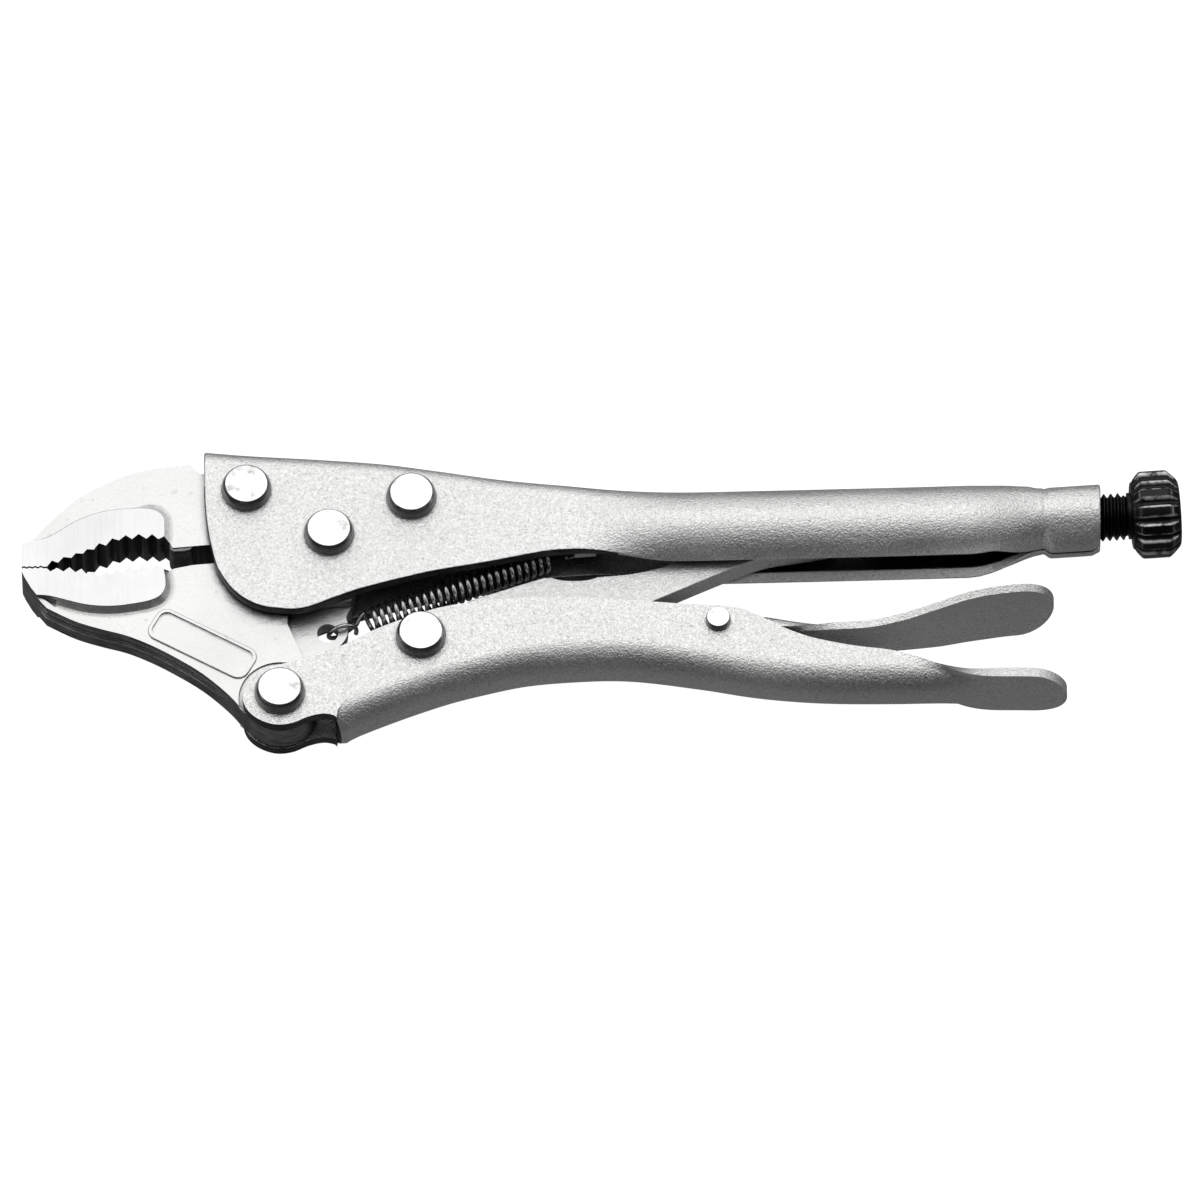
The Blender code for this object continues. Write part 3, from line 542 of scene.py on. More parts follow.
def terraces(regions):
    """Plates side by side in one body. A height is a number, or a function of the point for a slope.
    Neighbouring outlines share their points."""
    key = lambda p: (round(p[0], 4), round(p[1], 4))
    cols, edges, verts, ids, faces, mats = {}, {}, [], {}, [], []
    outlines = []
    for pts, lo, hi, mi in regions:
        area = sum(a[0] * b[1] - b[0] * a[1] for a, b in zip(pts, pts[1:] + pts[:1]))
        ks = [key(p) for p in (pts if area > 0 else pts[::-1])]
        low = {k: round(lo(k) if callable(lo) else lo, 4) for k in ks}
        high = {k: round(hi(k) if callable(hi) else hi, 4) for k in ks}
        outlines.append((ks, low, high, mi))
        for k in ks:
            cols.setdefault(k, set()).update((low[k], high[k]))
        for a, b in zip(ks, ks[1:] + ks[:1]):
            edges[(a, b)] = (low, high)

    def vid(k, z):
        if (k, z) not in ids:
            ids[(k, z)] = len(verts)
            verts.append((k[0], k[1], z))
        return ids[(k, z)]

    def wall(a, b, za, zb, mi):
        if za[1] - za[0] < 1e-6 and zb[1] - zb[0] < 1e-6:
            return
        left = [vid(a, z) for z in sorted(cols[a]) if za[0] <= z <= za[1]]
        right = [vid(b, z) for z in sorted(cols[b]) if zb[0] <= z <= zb[1]]
        if len(left) + len(right) > 2:
            faces.append(tuple(left[::-1] + right))
            mats.append(mi)

    for ks, low, high, mi in outlines:
        faces.append(tuple(vid(k, high[k]) for k in ks))
        faces.append(tuple(vid(k, low[k]) for k in reversed(ks)))
        mats += [mi, mi]
        for a, b in zip(ks, ks[1:] + ks[:1]):
            other = edges.get((b, a))
            if other is None:
                wall(a, b, (low[a], high[a]), (low[b], high[b]), 0)
            else:
                ol, oh = other
                wall(a, b, (max(oh[a], low[a]), high[a]), (max(oh[b], low[b]), high[b]), 0)
                wall(a, b, (low[a], min(ol[a], high[a])), (low[b], min(ol[b], high[b])), 0)
    return verts, faces, mats


def plate(name, regions, materials):
    v, f, mi = terraces(regions)
    ob = make(name, v, f, materials)
    for p, i in zip(ob.data.polygons, mi):
        p.material_index = i
    return ob


def curve(points, per=4, closed=False):
    """Catmull-Rom points through a 2-D outline."""
    out = []
    n = len(points)
    for i in range(n if closed else n - 1):
        p0 = points[(i - 1) % n] if closed or i > 0 else points[0]
        p1, p2 = points[i], points[(i + 1) % n]
        p3 = points[(i + 2) % n] if closed or i < n - 2 else points[-1]
        for k in range(per):
            t = k / per
            out.append(tuple(0.5 * (2 * p1[c] + (p2[c] - p0[c]) * t
                                    + (2 * p0[c] - 5 * p1[c] + 4 * p2[c] - p3[c]) * t * t
                                    + (3 * p1[c] - p0[c] - 3 * p2[c] + p3[c]) * t ** 3)
                             for c in (0, 1)))
    if not closed:
        out.append(tuple(points[-1]))
    return out


def cylinder(centre, r, z0, z1, sides=64):
    ring = lambda z: [(centre[0] + r * math.cos(2 * math.pi * i / sides),
                       centre[1] + r * math.sin(2 * math.pi * i / sides), z) for i in range(sides)]
    v, f = loft([ring(z0), ring(z1)])
    return make("cutter", v, f, NICKEL)


def offset(pts, dist, side=1):
    """Points moved sideways; dist is a number or one per point. side 1 is left of travel."""
    out = []
    for i, p in enumerate(pts):
        a, b = pts[max(0, i - 1)], pts[min(len(pts) - 1, i + 1)]
        dx, dy = b[0] - a[0], b[1] - a[1]
        m = math.hypot(dx, dy)
        d = (dist[i] if isinstance(dist, (list, tuple)) else dist) * side
        out.append((p[0] - dy / m * d, p[1] + dx / m * d))
    return out


def skirt(rows, heights, mi=0):
    """Strips of quads between rows of points, each row with its own half thickness."""
    h = {}
    for row, z in zip(rows, heights):
        for i, p in enumerate(row):
            h[(round(p[0], 4), round(p[1], 4))] = z[i] if isinstance(z, (list, tuple)) else z
    out = []
    for a, b in zip(rows, rows[1:]):
        for i in range(len(a) - 1):
            out.append(([a[i], a[i + 1], b[i + 1], b[i]], lambda k: -h[k], lambda k: h[k], mi))
    return out


def shade_walls_turned_from_light(ob, index, keep=lambda c: True):
    """Upright walls that don't face up (+Y), towards the light, take the dark edge material: painted shade."""
    for p in ob.data.polygons:
        c = p.center / MM
        if abs(p.normal.z) < 0.5 and p.normal.y < 0.25 and keep(c):
            p.material_index = index


# ================================================================== upper handle
def upper_section(xe, edge_y, x, n=(6, 6, 3)):
    """Section whose lips are at xe and whose back is at x."""
    b = step(x, 50.0, 78.0)
    c = step(x, 138.0, TAIL_START + 2.0)
    crease = 0.22 * math.exp(-((x - 154.4) / 0.55) ** 2)
    lip = math.radians(mix(TUBE_LIP_DEG, -87.2, step(x, 142.0, TAIL_START)))
    axis_y = SCREW_POINT[1] + (x - SCREW_POINT[0]) * math.tan(ANGLE)
    back = table(UPPER_BACK, x)
    yc = mix(back - TUBE_R, axis_y, c)
    ring = []
    for outer in (True, False):
        t = 0.0 if outer else UPPER_T
        w, r = UPPER_HALF_W - t, UPPER_CORNER_R - t
        top = back - t
        rad = mix(TUBE_R, TAIL_R, c) if outer else mix(TUBE_R - UPPER_T, TAIL_BORE_R, c)
        seam = 1.25 * step(x, 153.6, 156.0) * (1 - 0.75 * step(x, 164.4, 166.4)) if outer else 0.0
        half = []
        bounds = ((lip, math.radians(25)), (math.radians(25), math.radians(70)),
                  (math.radians(70), math.radians(90)))
        for part, (a0, a1) in zip(range(3), bounds):
            k = n[part]
            for i in range(k + (part == 2)):
                s = i / k
                a = mix(a0, a1, s)
                bulge = seam * math.exp(-((a + math.radians(90)) / math.radians(30)) ** 4)
                lift = (0.45 * step(x, 140.0, 147.0) * (1 - step(x, 150.6, 153.0)) * max(0.0, math.sin(a)) - crease) if outer else 0.0
                tube = (yc + (rad + bulge + lift) * math.sin(a), (rad + bulge + lift) * math.cos(a))
                px = mix(xe, x, s) if part == 0 else x
                if part == 0:
                    flat = (mix(edge_y, top - r, s), w)
                elif part == 1:
                    q = math.radians(90) * s
                    flat = (top - r + r * math.sin(q), w - r + r * math.cos(q))
                else:
                    flat = (top, mix(w - r, 0.0, s))
                half.append((px, mix(flat[0], tube[0], b), mix(flat[1], tube[1], b)))
        path = half + [(q, y, -z) for q, y, z in reversed(half[:-1])]
        ring += path if outer else path[::-1]
    return ring


edge_pts = curve([(-27.15, 17.4)] + list(UPPER_EDGE), 4)
rings, xb = [], -28.2
for xe, ye in edge_pts:
    if xe > 74:
        break
    xb = max(xe, xb + 0.75) if rings else -27.15
    if rings and abs(xb - xe) < 1e-6 and xe - rings[-1][0][0] < 0.55:
        continue
    rings.append(upper_section(xe, ye, xb))
x = rings[-1][-1][0]
x = max(p[0] for p in rings[-1])
while x < 141:
    x += 2.4
    rings.append(upper_section(x, -5.6, x))
for x in [143.5, 145, 146.5, 147.7, 148.6, 149.4, 150.2, 151, 151.8, 152.6, 153.2, 153.7, 154.0, 154.4, 154.8, 155.2, 155.8, 156.6, 158, 160, 163, 164.6, 165.2, 165.8, 166.4]:
    rings.append(upper_section(x, -5.6, x))
v, f = loft(rings)
handle = make("upper_handle_sheet", v, f, NICKEL)


def merge_cheeks(bm):
    for side in (1, -1):
        for w in (UPPER_HALF_W, UPPER_HALF_W - UPPER_T):
            z = (MID_Z + side * w) * MM
            fs = [q for q in bm.faces if all(abs(u.co.z - z) < 2e-6 for u in q.verts) and
                  q.calc_center_median().x < 0.0502]
            bmesh.ops.dissolve_faces(bm, faces=fs, use_verts=True)


edit(handle, merge_cheeks)
# the cheeks' cut edges take the near-black edge material, as painted shade
handle.data.materials.append(BLANKED_EDGE_SHADE)
lips = [handle.data.polygons[i] for i in range(len(handle.data.polygons))]
for p in lips:
    c = p.center / MM
    if (UPPER_HALF_W - UPPER_T + 0.3 < abs(c.z - MID_Z) < UPPER_HALF_W - 0.3 and abs(p.normal.z) < 0.4
            and c.x < 68 and c.y < 12):
        p.material_index = 1
bevel(handle, 0.42, 3, 40)
for c in (JAW_PIVOT, FRONT_RIVET, REAR_RIVET):
    t = cylinder(c, HOLE_R, -12, 12)
    boolean(handle, t)
    apply_all(handle)
    discard(t)
tab_plate = plate("anchor_tab", [([(51, 12.6), (60, 12.0), (60, 5), (57.6, -0.9), (53, -1.3), (51.8, 1.2)], -1, 1, 0)], [NICKEL])
bevel(tab_plate, 0.2, 2, 40)
t = cylinder(SPRING_ANCHOR, 1.3, -12, 12, 32)
boolean(tab_plate, t)
apply_all(tab_plate)
discard(t)
boolean(handle, tab_plate, 'UNION')
apply_all(handle)
discard(tab_plate)
finish_shading(handle, 40)
stand_in(handle, "upper_handle", "upper_handle")


# ================================================================== jaws
tip_u = [(-66.2, -6.95), (-66.2, -2.4), (-65.9, -1.1), (-64.3, -0.4)]
pad_edge_u = curve([tip_u[-1]] + list(UPPER_PAD_EDGE) + [UPPER_TEETH[-1]], 4)
top_u = curve(list(UPPER_JAW_TOP[:8]), 4) + list(UPPER_JAW_TOP[8:])
serr_u = [(-66.2, -6.95), (-65.7, -6.7), (-65.1, -7.0), (-64.5, -6.7), (-63.9, -6.98), (-63.3, -6.66),
          (-62.7, -6.95), (-62.1, -6.6), (-61.5, -6.9)]
serr_l = [(-66.2, -7.3), (-65.7, -7.05), (-65.1, -7.35), (-64.5, -7.05), (-63.9, -7.33), (-63.3, -7.01),
          (-62.7, -7.3), (-62.1, -6.95), (-61.5, -7.25)]
pad_u = ([UPPER_TEETH[-1]] + list(reversed(UPPER_TEETH[:-1])) + list(reversed(serr_u))
         + tip_u[1:] + pad_edge_u[1:-1])
# the body meets the pad in a sloped skirt, narrow on top and wide behind the teeth
ends_u = [mix(0.0, 1.0, step(i, 0, 3)) for i in range(len(pad_edge_u))]
width_u = [e * mix(0.35, 1.25, step(p[0], -43.0, -37.0)) for e, p in zip(ends_u, pad_edge_u)]
low_u = [(JAW_HALF_T if e < 1e-6 else mix(JAW_HALF_T, JAW_HALF_T - 0.35, step(p[0], -43.0, -38.0))) for e, p in zip(ends_u, pad_edge_u)]
in_u = offset(pad_edge_u, width_u, 1)
out_u = offset(pad_edge_u, [w * 1.8 for w in width_u], 1)
in_u[-1], out_u[-1] = (UPPER_TEETH[-1][0] + 1.1, UPPER_TEETH[-1][1] - 1.25), (-33.7, -1.9)
body_u = (top_u + [(22.6, 12.0), (24.6, 8.4), (23.6, 4.6), (20.4, 2.4), (16.0, 2.2),
          (12.0, 3.2)] + arc(JAW_PIVOT, HUB_RELIEF_R, 22, 173, 24)
          + [(-25.7, -1.1)] + list(reversed(out_u[1:])))
rows_u = [pad_edge_u, in_u, out_u]
skirt_u = skirt([r[1:] for r in rows_u], [[JAW_HALF_T + 0.2] * (len(low_u) - 1), low_u[1:], JAW_HALF_T])
s_first = {tuple(round(c, 4) for c in pad_edge_u[0]): JAW_HALF_T, tuple(round(c, 4) for c in pad_edge_u[1]): JAW_HALF_T + 0.2,
           tuple(round(c, 4) for c in in_u[1]): low_u[1], tuple(round(c, 4) for c in out_u[1]): JAW_HALF_T}
for tri in ([pad_edge_u[0], pad_edge_u[1], in_u[1]], [pad_edge_u[0], in_u[1], out_u[1]]):
    skirt_u.append((tri, lambda k: -s_first[k], lambda k: s_first[k], 0))
upper_jaw = plate("upper_jaw_forging", [(pad_u, -PAD_HALF_T, PAD_HALF_T, 1),
                                        (body_u, -JAW_HALF_T, JAW_HALF_T, 0)] + skirt_u, [FORGED, GROUND, TEETH, SHEARED_STREAKS_AND_SHADE])
# walls turned from the light take the dark edge material, as painted shade
shade_walls_turned_from_light(upper_jaw, 3, lambda c: c.x > -64)


def darken_teeth(ob, outline):
    """Tooth flanks take the near-black painted-shade material: walls that run along the given outline."""
    pts = [(x * MM, y * MM) for x, y in outline]
    for p in ob.data.polygons:
        if abs(p.normal.z) > 0.3:
            continue
        c = p.center
        for a, b in zip(pts, pts[1:]):
            if math.hypot(c.x - (a[0] + b[0]) / 2, c.y - (a[1] + b[1]) / 2) < 2e-5:
                p.material_index = 2
                break


# the cutter ridge takes the dark edge material, painted shade in the mouth slot
cutter_u = plate("cutter_ridge", [([(-34.6, -0.6), (-34.4, -2.1), (-33.6, -2.75), (-31.2, -2.62), (-29.9, -2.2),
                                    (-29.3, -1.45), (-29.3, -0.6)], -JAW_HALF_T + 0.2, JAW_HALF_T - 0.3, 0)], [SHEARED_STREAKS_AND_SHADE])
bevel(cutter_u, 0.35, 3, 30)
# tooth flanks and the slot walls take the near-black material, painted shade
darken_teeth(upper_jaw, list(serr_u) + list(UPPER_TEETH) + [in_u[-1], out_u[-1], (-25.7, -1.1)])
bevel(upper_jaw, 0.16, 2, 28)
for c in (FRONT_RIVET, REAR_RIVET):
    t = cylinder(c, HOLE_R, -12, 12)
    boolean(upper_jaw, t)
    apply_all(upper_jaw)
    discard(t)
apply_all(cutter_u)
boolean(upper_jaw, cutter_u, 'UNION')
apply_all(upper_jaw)
discard(cutter_u)
# thin parting flash along the back of the jaw; walls turned from the light take the dark edge material, as painted
# shade
run = [p for p in top_u if p[0] < -30.5]
fade = [step(i, 0, 4) * (1 - step(i, len(run) - 4, len(run) - 1)) for i in range(len(run))]
layer = plate("flash", [(offset(run, [0.26 * q + 0.01 for q in fade], 1)
                         + list(reversed(offset(run, -1.2, 1))), -0.45, 0.35, 1)], [FORGED, SHEARED_STREAKS_AND_SHADE])
shade_walls_turned_from_light(layer, 1)
boolean(upper_jaw, layer, 'UNION')
apply_all(upper_jaw)
discard(layer)
finish_shading(upper_jaw, 32)
stand_in(upper_jaw, "upper_handle", "upper_jaw")

hub_l, hub_r, hub_mid = (-22.0, -5.2), (4.8, -15.0), (-8.6, -16.6)
lug_k, lug_m = (-5.2, -29.6), LOWER_JAW_BOTTOM[-1]
hub_line = curve([hub_mid, (-14.5, -15.0), (-19.5, -10.5), hub_l], 4)[1:-1]
lug_line = arc(HANDLE_PIVOT, LUG_STEP_R, 196, 84, 20)
bottom_l = curve(list(LOWER_JAW_BOTTOM), 4)
pad_edge_l = curve([LOWER_JAW_BOTTOM[0]] + list(LOWER_PAD_EDGE) + [LOWER_TEETH[-1]], 4)
pad_l = (serr_l + list(LOWER_TEETH) + list(reversed(pad_edge_l[1:-1]))
         + [LOWER_JAW_BOTTOM[0], (-64.1, -12.1), (-65.5, -9.6), (-66.2, -8.0)])
hub = ([hub_l, (-13.0, -4.8)] + arc(JAW_PIVOT, HUB_R, 209, -50, 40) + [hub_r, hub_mid] + hub_line)
tab_out = curve([hub_r, (3.8, -17.4), (4.2, -19.8), (3.7, -22.8), (1.2, -25.7), lug_k], 5)
tab = tab_out + [(-8.9, -20.3), hub_mid]
lug = [lug_k, (-3.6, -33.6)] + arc(HANDLE_PIVOT, LUG_R, 30, -150, 36) + [lug_m] + lug_line
def shared(p):
    return tuple(round(c, 4) for c in p)


last = len(pad_edge_l) - 1
width_l = [1.15 * step(i, 0, 9) for i in range(len(pad_edge_l))]
mid_l = offset(pad_edge_l, [0.4 * w for w in width_l], -1)
in_l = offset(pad_edge_l, width_l, -1)
out_l = offset(pad_edge_l, [2.3 * w for w in width_l], -1)
mid_l[-1], in_l[-1], out_l[-1] = (-35.1, -7.18), (-34.4, -7.0), (-33.4, -6.75)
h_mid = [mix(LOWER_BODY_HALF_T, LOWER_BODY_HALF_T + 0.35, step(i, 0, 5)) for i in range(last + 1)]
h_in = [mix(LOWER_BODY_HALF_T, LOWER_BODY_HALF_T - 0.55, step(i, 0, 5)) for i in range(last + 1)]
h_edge = [mix(LOWER_BODY_HALF_T, LOWER_BODY_HALF_T + 0.75, step(i, 0, 3)) for i in range(last + 1)]
skirt_l = skirt([r[1:] for r in (pad_edge_l, mid_l, in_l, out_l)],
                [h_edge[1:], h_mid[1:], h_in[1:], LOWER_BODY_HALF_T])
first = {shared(pad_edge_l[0]): LOWER_BODY_HALF_T, shared(pad_edge_l[1]): h_edge[1], shared(mid_l[1]): h_mid[1],
         shared(in_l[1]): h_in[1], shared(out_l[1]): LOWER_BODY_HALF_T}
for a, b in ((pad_edge_l[1], mid_l[1]), (mid_l[1], in_l[1]), (in_l[1], out_l[1])):
    skirt_l.append(([pad_edge_l[0], a, b], lambda k: -first[k], lambda k: first[k], 0))
body_l = ([(-29.5, -5.85), (-24.8, -5.4), hub_l]
          + list(reversed(hub_line)) + [hub_mid, (-8.9, -20.3), lug_k] + list(reversed(lug_line))
          + list(reversed(bottom_l)) + out_l[1:])
lower_jaw = plate("lower_jaw_forging", [
    (pad_l, -PAD_HALF_T, PAD_HALF_T, 1), (body_l, -LOWER_BODY_HALF_T, LOWER_BODY_HALF_T, 0),
    (hub, -JAW_HALF_T, JAW_HALF_T, 0), (tab, -TAB_HALF_T, TAB_HALF_T, 0),
    (lug, -LUG_HALF_T, LUG_HALF_T, 0)] + skirt_l, [FORGED, GROUND, TEETH, SHEARED_STREAKS_AND_SHADE])
# walls turned from the light take the dark edge material and the tooth flanks the near-black one, both painted shade
shade_walls_turned_from_light(lower_jaw, 3, lambda c: c.x > -66)
darken_teeth(lower_jaw, list(serr_l) + list(LOWER_TEETH) + [mid_l[-1], in_l[-1], out_l[-1], (-29.5, -5.85), (-24.8, -5.4)])
bevel(lower_jaw, 0.16, 2, 28)
apply_all(lower_jaw)
# layered forging flash lines along the lower side; walls turned from the light take the dark streaked edge material, as
# painted shade
run = [p for p in bottom_l if p[0] < -20.6]
fade = [step(i, 0, 5) * (1 - step(i, len(run) - 6, len(run) - 1)) for i in range(len(run))]
for z0, z1, d in ((-3.55, -0.42, 0.16), (-0.42, 0.30, 0.46), (0.30, 1.35, 0.20), (2.0, 2.35, 0.13)):
    line_out = offset(run, [d * q + 0.01 for q in fade], -1)
    line_in = offset(run, -1.2, -1)
    layer = plate("flash", [(line_out + list(reversed(line_in)), z0, z1, 0)], [FORGED, SHEARED_STREAKS_AND_SHADE])
    shade_walls_turned_from_light(layer, 1)
    bevel(layer, 0.10, 2, 40)
    apply_all(layer)
    boolean(lower_jaw, layer, 'UNION')
    apply_all(lower_jaw)
    discard(layer)
for c, r in ((JAW_PIVOT, HOLE_R), (HANDLE_PIVOT, HOLE_R), (TAB_HOLE, TAB_HOLE_R)):
    t = cylinder(c, r, -12, 12)
    boolean(lower_jaw, t)
    apply_all(lower_jaw)
    discard(t)


def rounded_rect(c, w, h, r, deg, n=6):
    pts = []
    for sx, sy, a in ((1, 1, 0), (-1, 1, 90), (-1, -1, 180), (1, -1, 270)):
        for i in range(n + 1):
            q = math.radians(a + 90 * i / n)
            pts.append((sx * (w / 2 - r) + r * math.cos(q), sy * (h / 2 - r) + r * math.sin(q)))
    s, k = math.sin(math.radians(deg)), math.cos(math.radians(deg))
    return [(c[0] + x * k - y * s, c[1] + x * s + y * k) for x, y in pts]


plaque = plate("plaque", [(rounded_rect((-27.1, -25.5), 24.4, 8.2, 2.5, -29), 3.0, 4.32, 0)], [FORGED])
bevel(plaque, 0.28, 3, 30)
apply_all(plaque)
boolean(lower_jaw, plaque, 'UNION')
apply_all(lower_jaw)
field = plate("field", [(rounded_rect((-27.1, -25.5), 22.8, 6.6, 1.8, -29), 3.72, 6.0, 0)], [FORGED])
bevel(field, 0.2, 2, 30)
apply_all(field)
boolean(lower_jaw, field)
apply_all(lower_jaw)
discard(field)
discard(plaque)
finish_shading(lower_jaw, 32)
stand_in(lower_jaw, "lower_jaw", "lower_jaw")


# ================================================================== lower handle
def channel_section(x, edge_y, bottom, w, b, t, paddle_w, radius, n=(4, 14), shift=None):
    ring = []
    for outer in (True, False):
        o = 0.0 if outer else t
        half = []
        r = radius - o
        lip = math.asin(min(1.0, paddle_w / radius))
        for part in (0, 1):
            k = n[part]
            for i in range(k + (part == 1)):
                s = i / k
                if part == 0:
                    flat = (mix(edge_y, bottom + w, s), w - o)
                else:
                    q = math.radians(90) * s
                    flat = (bottom + w - (w - o) * math.sin(q), (w - o) * math.cos(q))
                a = lip * (1 - (i + (0 if part == 0 else n[0])) / (n[0] + n[1]))
                dish = (bottom + radius - r * math.cos(a), r * math.sin(a))
                y = mix(flat[0], dish[0], b)
                px = x + (shift(y) if shift else 0.0)
                half.append((px, y, mix(flat[1], dish[1], b)))
        path = half + [(q, y, -z) for q, y, z in reversed(half[:-1])]
        ring += path if outer else path[::-1]
    return ring


def paddle_width(x, start, tip, full):
    if x <= start:
        return full
    return max(0.5, full * math.sqrt(max(0.0, 1 - ((x - start) / (tip - start)) ** 2)))


def lower_section(x, shift=None):
    b = step(x, 118.0, 146.0)
    half = mix(LOWER_HALF_W, PADDLE_HALF_W, step(x, 112.0, 138.0))
    edge = table(LOWER_EDGE, x) + 1.7 * math.exp(-((x - 131.0) / 8.5) ** 2)
    return channel_section(x, edge, max(-46.95, table(LOWER_BOTTOM, x)), LOWER_HALF_W, b, LOWER_T,
                           paddle_width(x, PADDLE_ROUND, LOWER_TIP, half), PADDLE_R, shift=shift)


rings = []
x0, n0 = 1.6, 0
xs = [x0 + 1.6 * i for i in range(int((PADDLE_ROUND - 0.8 - x0) / 1.6) + 1)] + [PADDLE_ROUND]
xs += [PADDLE_ROUND + (LOWER_TIP - PADDLE_ROUND) * math.sin(math.radians(a)) for a in (10, 20, 29, 38, 47, 55, 62, 69, 75, 80, 84.5, 88, 89.8)]
for x in xs:
    fade = max(0.0, 1 - (x - x0) / 7.0)
    rings.append(lower_section(x, (lambda y, k=fade: k * 0.5 * max(0.0, -44.2 - y)) if fade > 0 else None))
v, f = loft(rings)
lower = make("lower_handle_sheet", v, f, NICKEL)


def merge_lower(bm):
    for side in (1, -1):
        for w in (LOWER_HALF_W, LOWER_HALF_W - LOWER_T):
            z = (MID_Z + side * w) * MM
            fs = [q for q in bm.faces if all(abs(u.co.z - z) < 2e-6 for u in q.verts) and
                  q.calc_center_median().x < 0.103]
            bmesh.ops.dissolve_faces(bm, faces=fs, use_verts=True)


edit(lower, merge_lower)
# the channel's front end takes the near-black edge material, as painted shade
lower.data.materials.append(BLANKED_EDGE_SHADE)
for p in lower.data.polygons:
    c = p.center / MM
    if abs(p.normal.x) > 0.6 and c.x < 4:
        p.material_index = 1
bevel(lower, 0.42, 3, 40)
apply_all(lower)
ear_top = curve([(-18.3, -38.9), (-17.6, -36.6), (-16.2, -34.7), (-14.0, -33.1), (-9.3, -31.6),
                 (-2.7, -29.5), (3.9, -26.8)], 5)
ear_top = ear_top[:-1] + [(3.6, -26.95)]
ear_bot = curve([(1.9, -45.2), (1.3, -44.5), (-1.1, -44.1), (-4.3, -44.9), (-7.6, -46.4), (-11.0, -46.8),
                 (-14.2, -45.8), (-16.6, -44.0), (-18.0, -41.6), (-18.3, -38.9)], 5)[:-1]
ears = []
for side in (1, -1):
    z = sorted((side * (LOWER_HALF_W - LOWER_T + 0.015), side * (LOWER_HALF_W - 0.015)))
    e = plate("ear", [(ear_top + [(6.5, -30.0), (6.5, -38.6), (3.6, -40.9), (2.2, -43.2)] + ear_bot, z[0], z[1], 0)], [NICKEL, BLANKED_EDGE_SHADE])
    # the ears' lower and front walls take the near-black edge material, as painted shade
    shade_walls_turned_from_light(e, 1, lambda c: c.y < -39 or c.x < -17.3)
    bevel(e, 0.42, 3, 40)
    apply_all(e)
    ears.append(e)
for e in ears:
    boolean(lower, e, 'UNION')
    apply_all(lower)
discard(*ears)
for c, r in ((HANDLE_PIVOT, HOLE_R), (LINK_PIVOT, HOLE_R), (RELEASE_PIVOT, PIN_HOLE_R)):
    t = cylinder(c, r, -12, 12)
    boolean(lower, t)
    apply_all(lower)
    discard(t)
finish_shading(lower, 40)
stand_in(lower, "lower_handle", "lower_handle")


# ================================================================== toggle link
link_top = curve([(94.5, 4.6), (82.0, -1.2), (72.0, -5.4), (65.0, -7.2), (59.0, -7.85), (57.8, -8.0)], 4)
link_top2 = curve([(46.2, -8.2), (41.3, -9.9), (36.9, -11.5), (32.5, -13.1), (26.0, -16.2)], 4)
link = (arc(LINK_PIVOT, 6.2, 112, 292, 24) + curve([(33.0, -28.2), (45.0, -24.2), (60.0, -18.8), (70.6, -13.8), (91.0, -4.2),
        (99.0, -2.2)], 4) + arc(LINK_TAIL, 4.4, -70, 100, 18) + link_top
        + curve([(57.0, -8.35), (55.4, -8.75), (53.0, -8.9), (50.6, -8.8), (48.9, -8.45), (47.9, -8.05)], 3) + link_top2)
link_ob = plate("toggle_link_plate", [(link, -LINK_HALF_T, LINK_HALF_T, 0)], [LINKMAT])
bevel(link_ob, 0.3, 3, 30)
t = cylinder(LINK_PIVOT, HOLE_R, -12, 12)
boolean(link_ob, t)
apply_all(link_ob)
discard(t)
finish_shading(link_ob, 35)
stand_in(link_ob, "toggle_link", "toggle_link")


# ================================================================== release lever
def lever_section(x, nf=3, na=5, nt=4):
    b = step(x, 94.0, 112.0)
    depth = 0.6 + 5.0 * (step(x, 72.0, 79.0) - step(x, 87.5, 96.0))
    line = table(LEVER_LINE, x)
    half = table(LEVER_HALF_W, x)
    w, c = 3.5, LEVER_CORNER_R
    ring = []
    lip = math.asin(paddle_width(x, LEVER_ROUND, RELEASE_TIP, half) / LEVER_R)
    total = nf + na + nt
    for outer in (True, False):
        o = 0.0 if outer else LEVER_T
        half_path = []
        for i in range(total + 1):
            if i < nf:
                flat = (line - c - mix(depth, 0.0, i / nf), w - o)
            elif i <= nf + na:
                q = math.radians(90) * (i - nf) / na
                flat = (line - c + (c - o) * math.sin(q), w - c + (c - o) * math.cos(q))
            else:
                flat = (line - o, mix(w - c, 0.0, (i - nf - na) / nt))
            a = lip * (1 - i / total)
            r = LEVER_R - o
            dish = (line - LEVER_R + r * math.cos(a), r * math.sin(a))
            half_path.append((mix(flat[0], dish[0], b), mix(flat[1], dish[1], b)))
        path = half_path + [(y, -z) for y, z in reversed(half_path[:-1])]
        ring += path if outer else path[::-1]
    return [(x, y, z) for y, z in ring]


xs = [63 + 1.5 * i for i in range(57)] + [LEVER_ROUND]
xs += [LEVER_ROUND + (RELEASE_TIP - LEVER_ROUND) * math.sin(math.radians(a)) for a in (10, 20, 30, 40, 49, 57, 64, 71, 77, 82, 86, 89.6)]
v, f = loft([lever_section(x) for x in xs])
lever = make("release_lever_sheet", v, f, NICKEL)
bevel(lever, 0.3, 3, 50)
t = cylinder(RELEASE_PIVOT, PIN_HOLE_R, -12, 12)
boolean(lever, t)
apply_all(lever)
discard(t)
finish_shading(lever, 45)
stand_in(lever, "release_lever", "release_lever")


# ================================================================== rivets
def turned(name, centre, profile, sides=72, mat=None):
    rings = [[(centre[0] + r * math.cos(2 * math.pi * i / sides),
               centre[1] + r * math.sin(2 * math.pi * i / sides), z) for i in range(sides)]
             for r, z in profile]
    v, f = loft(rings)
    ob = make(name, v, f, mat or BRIGHT)
    return ob


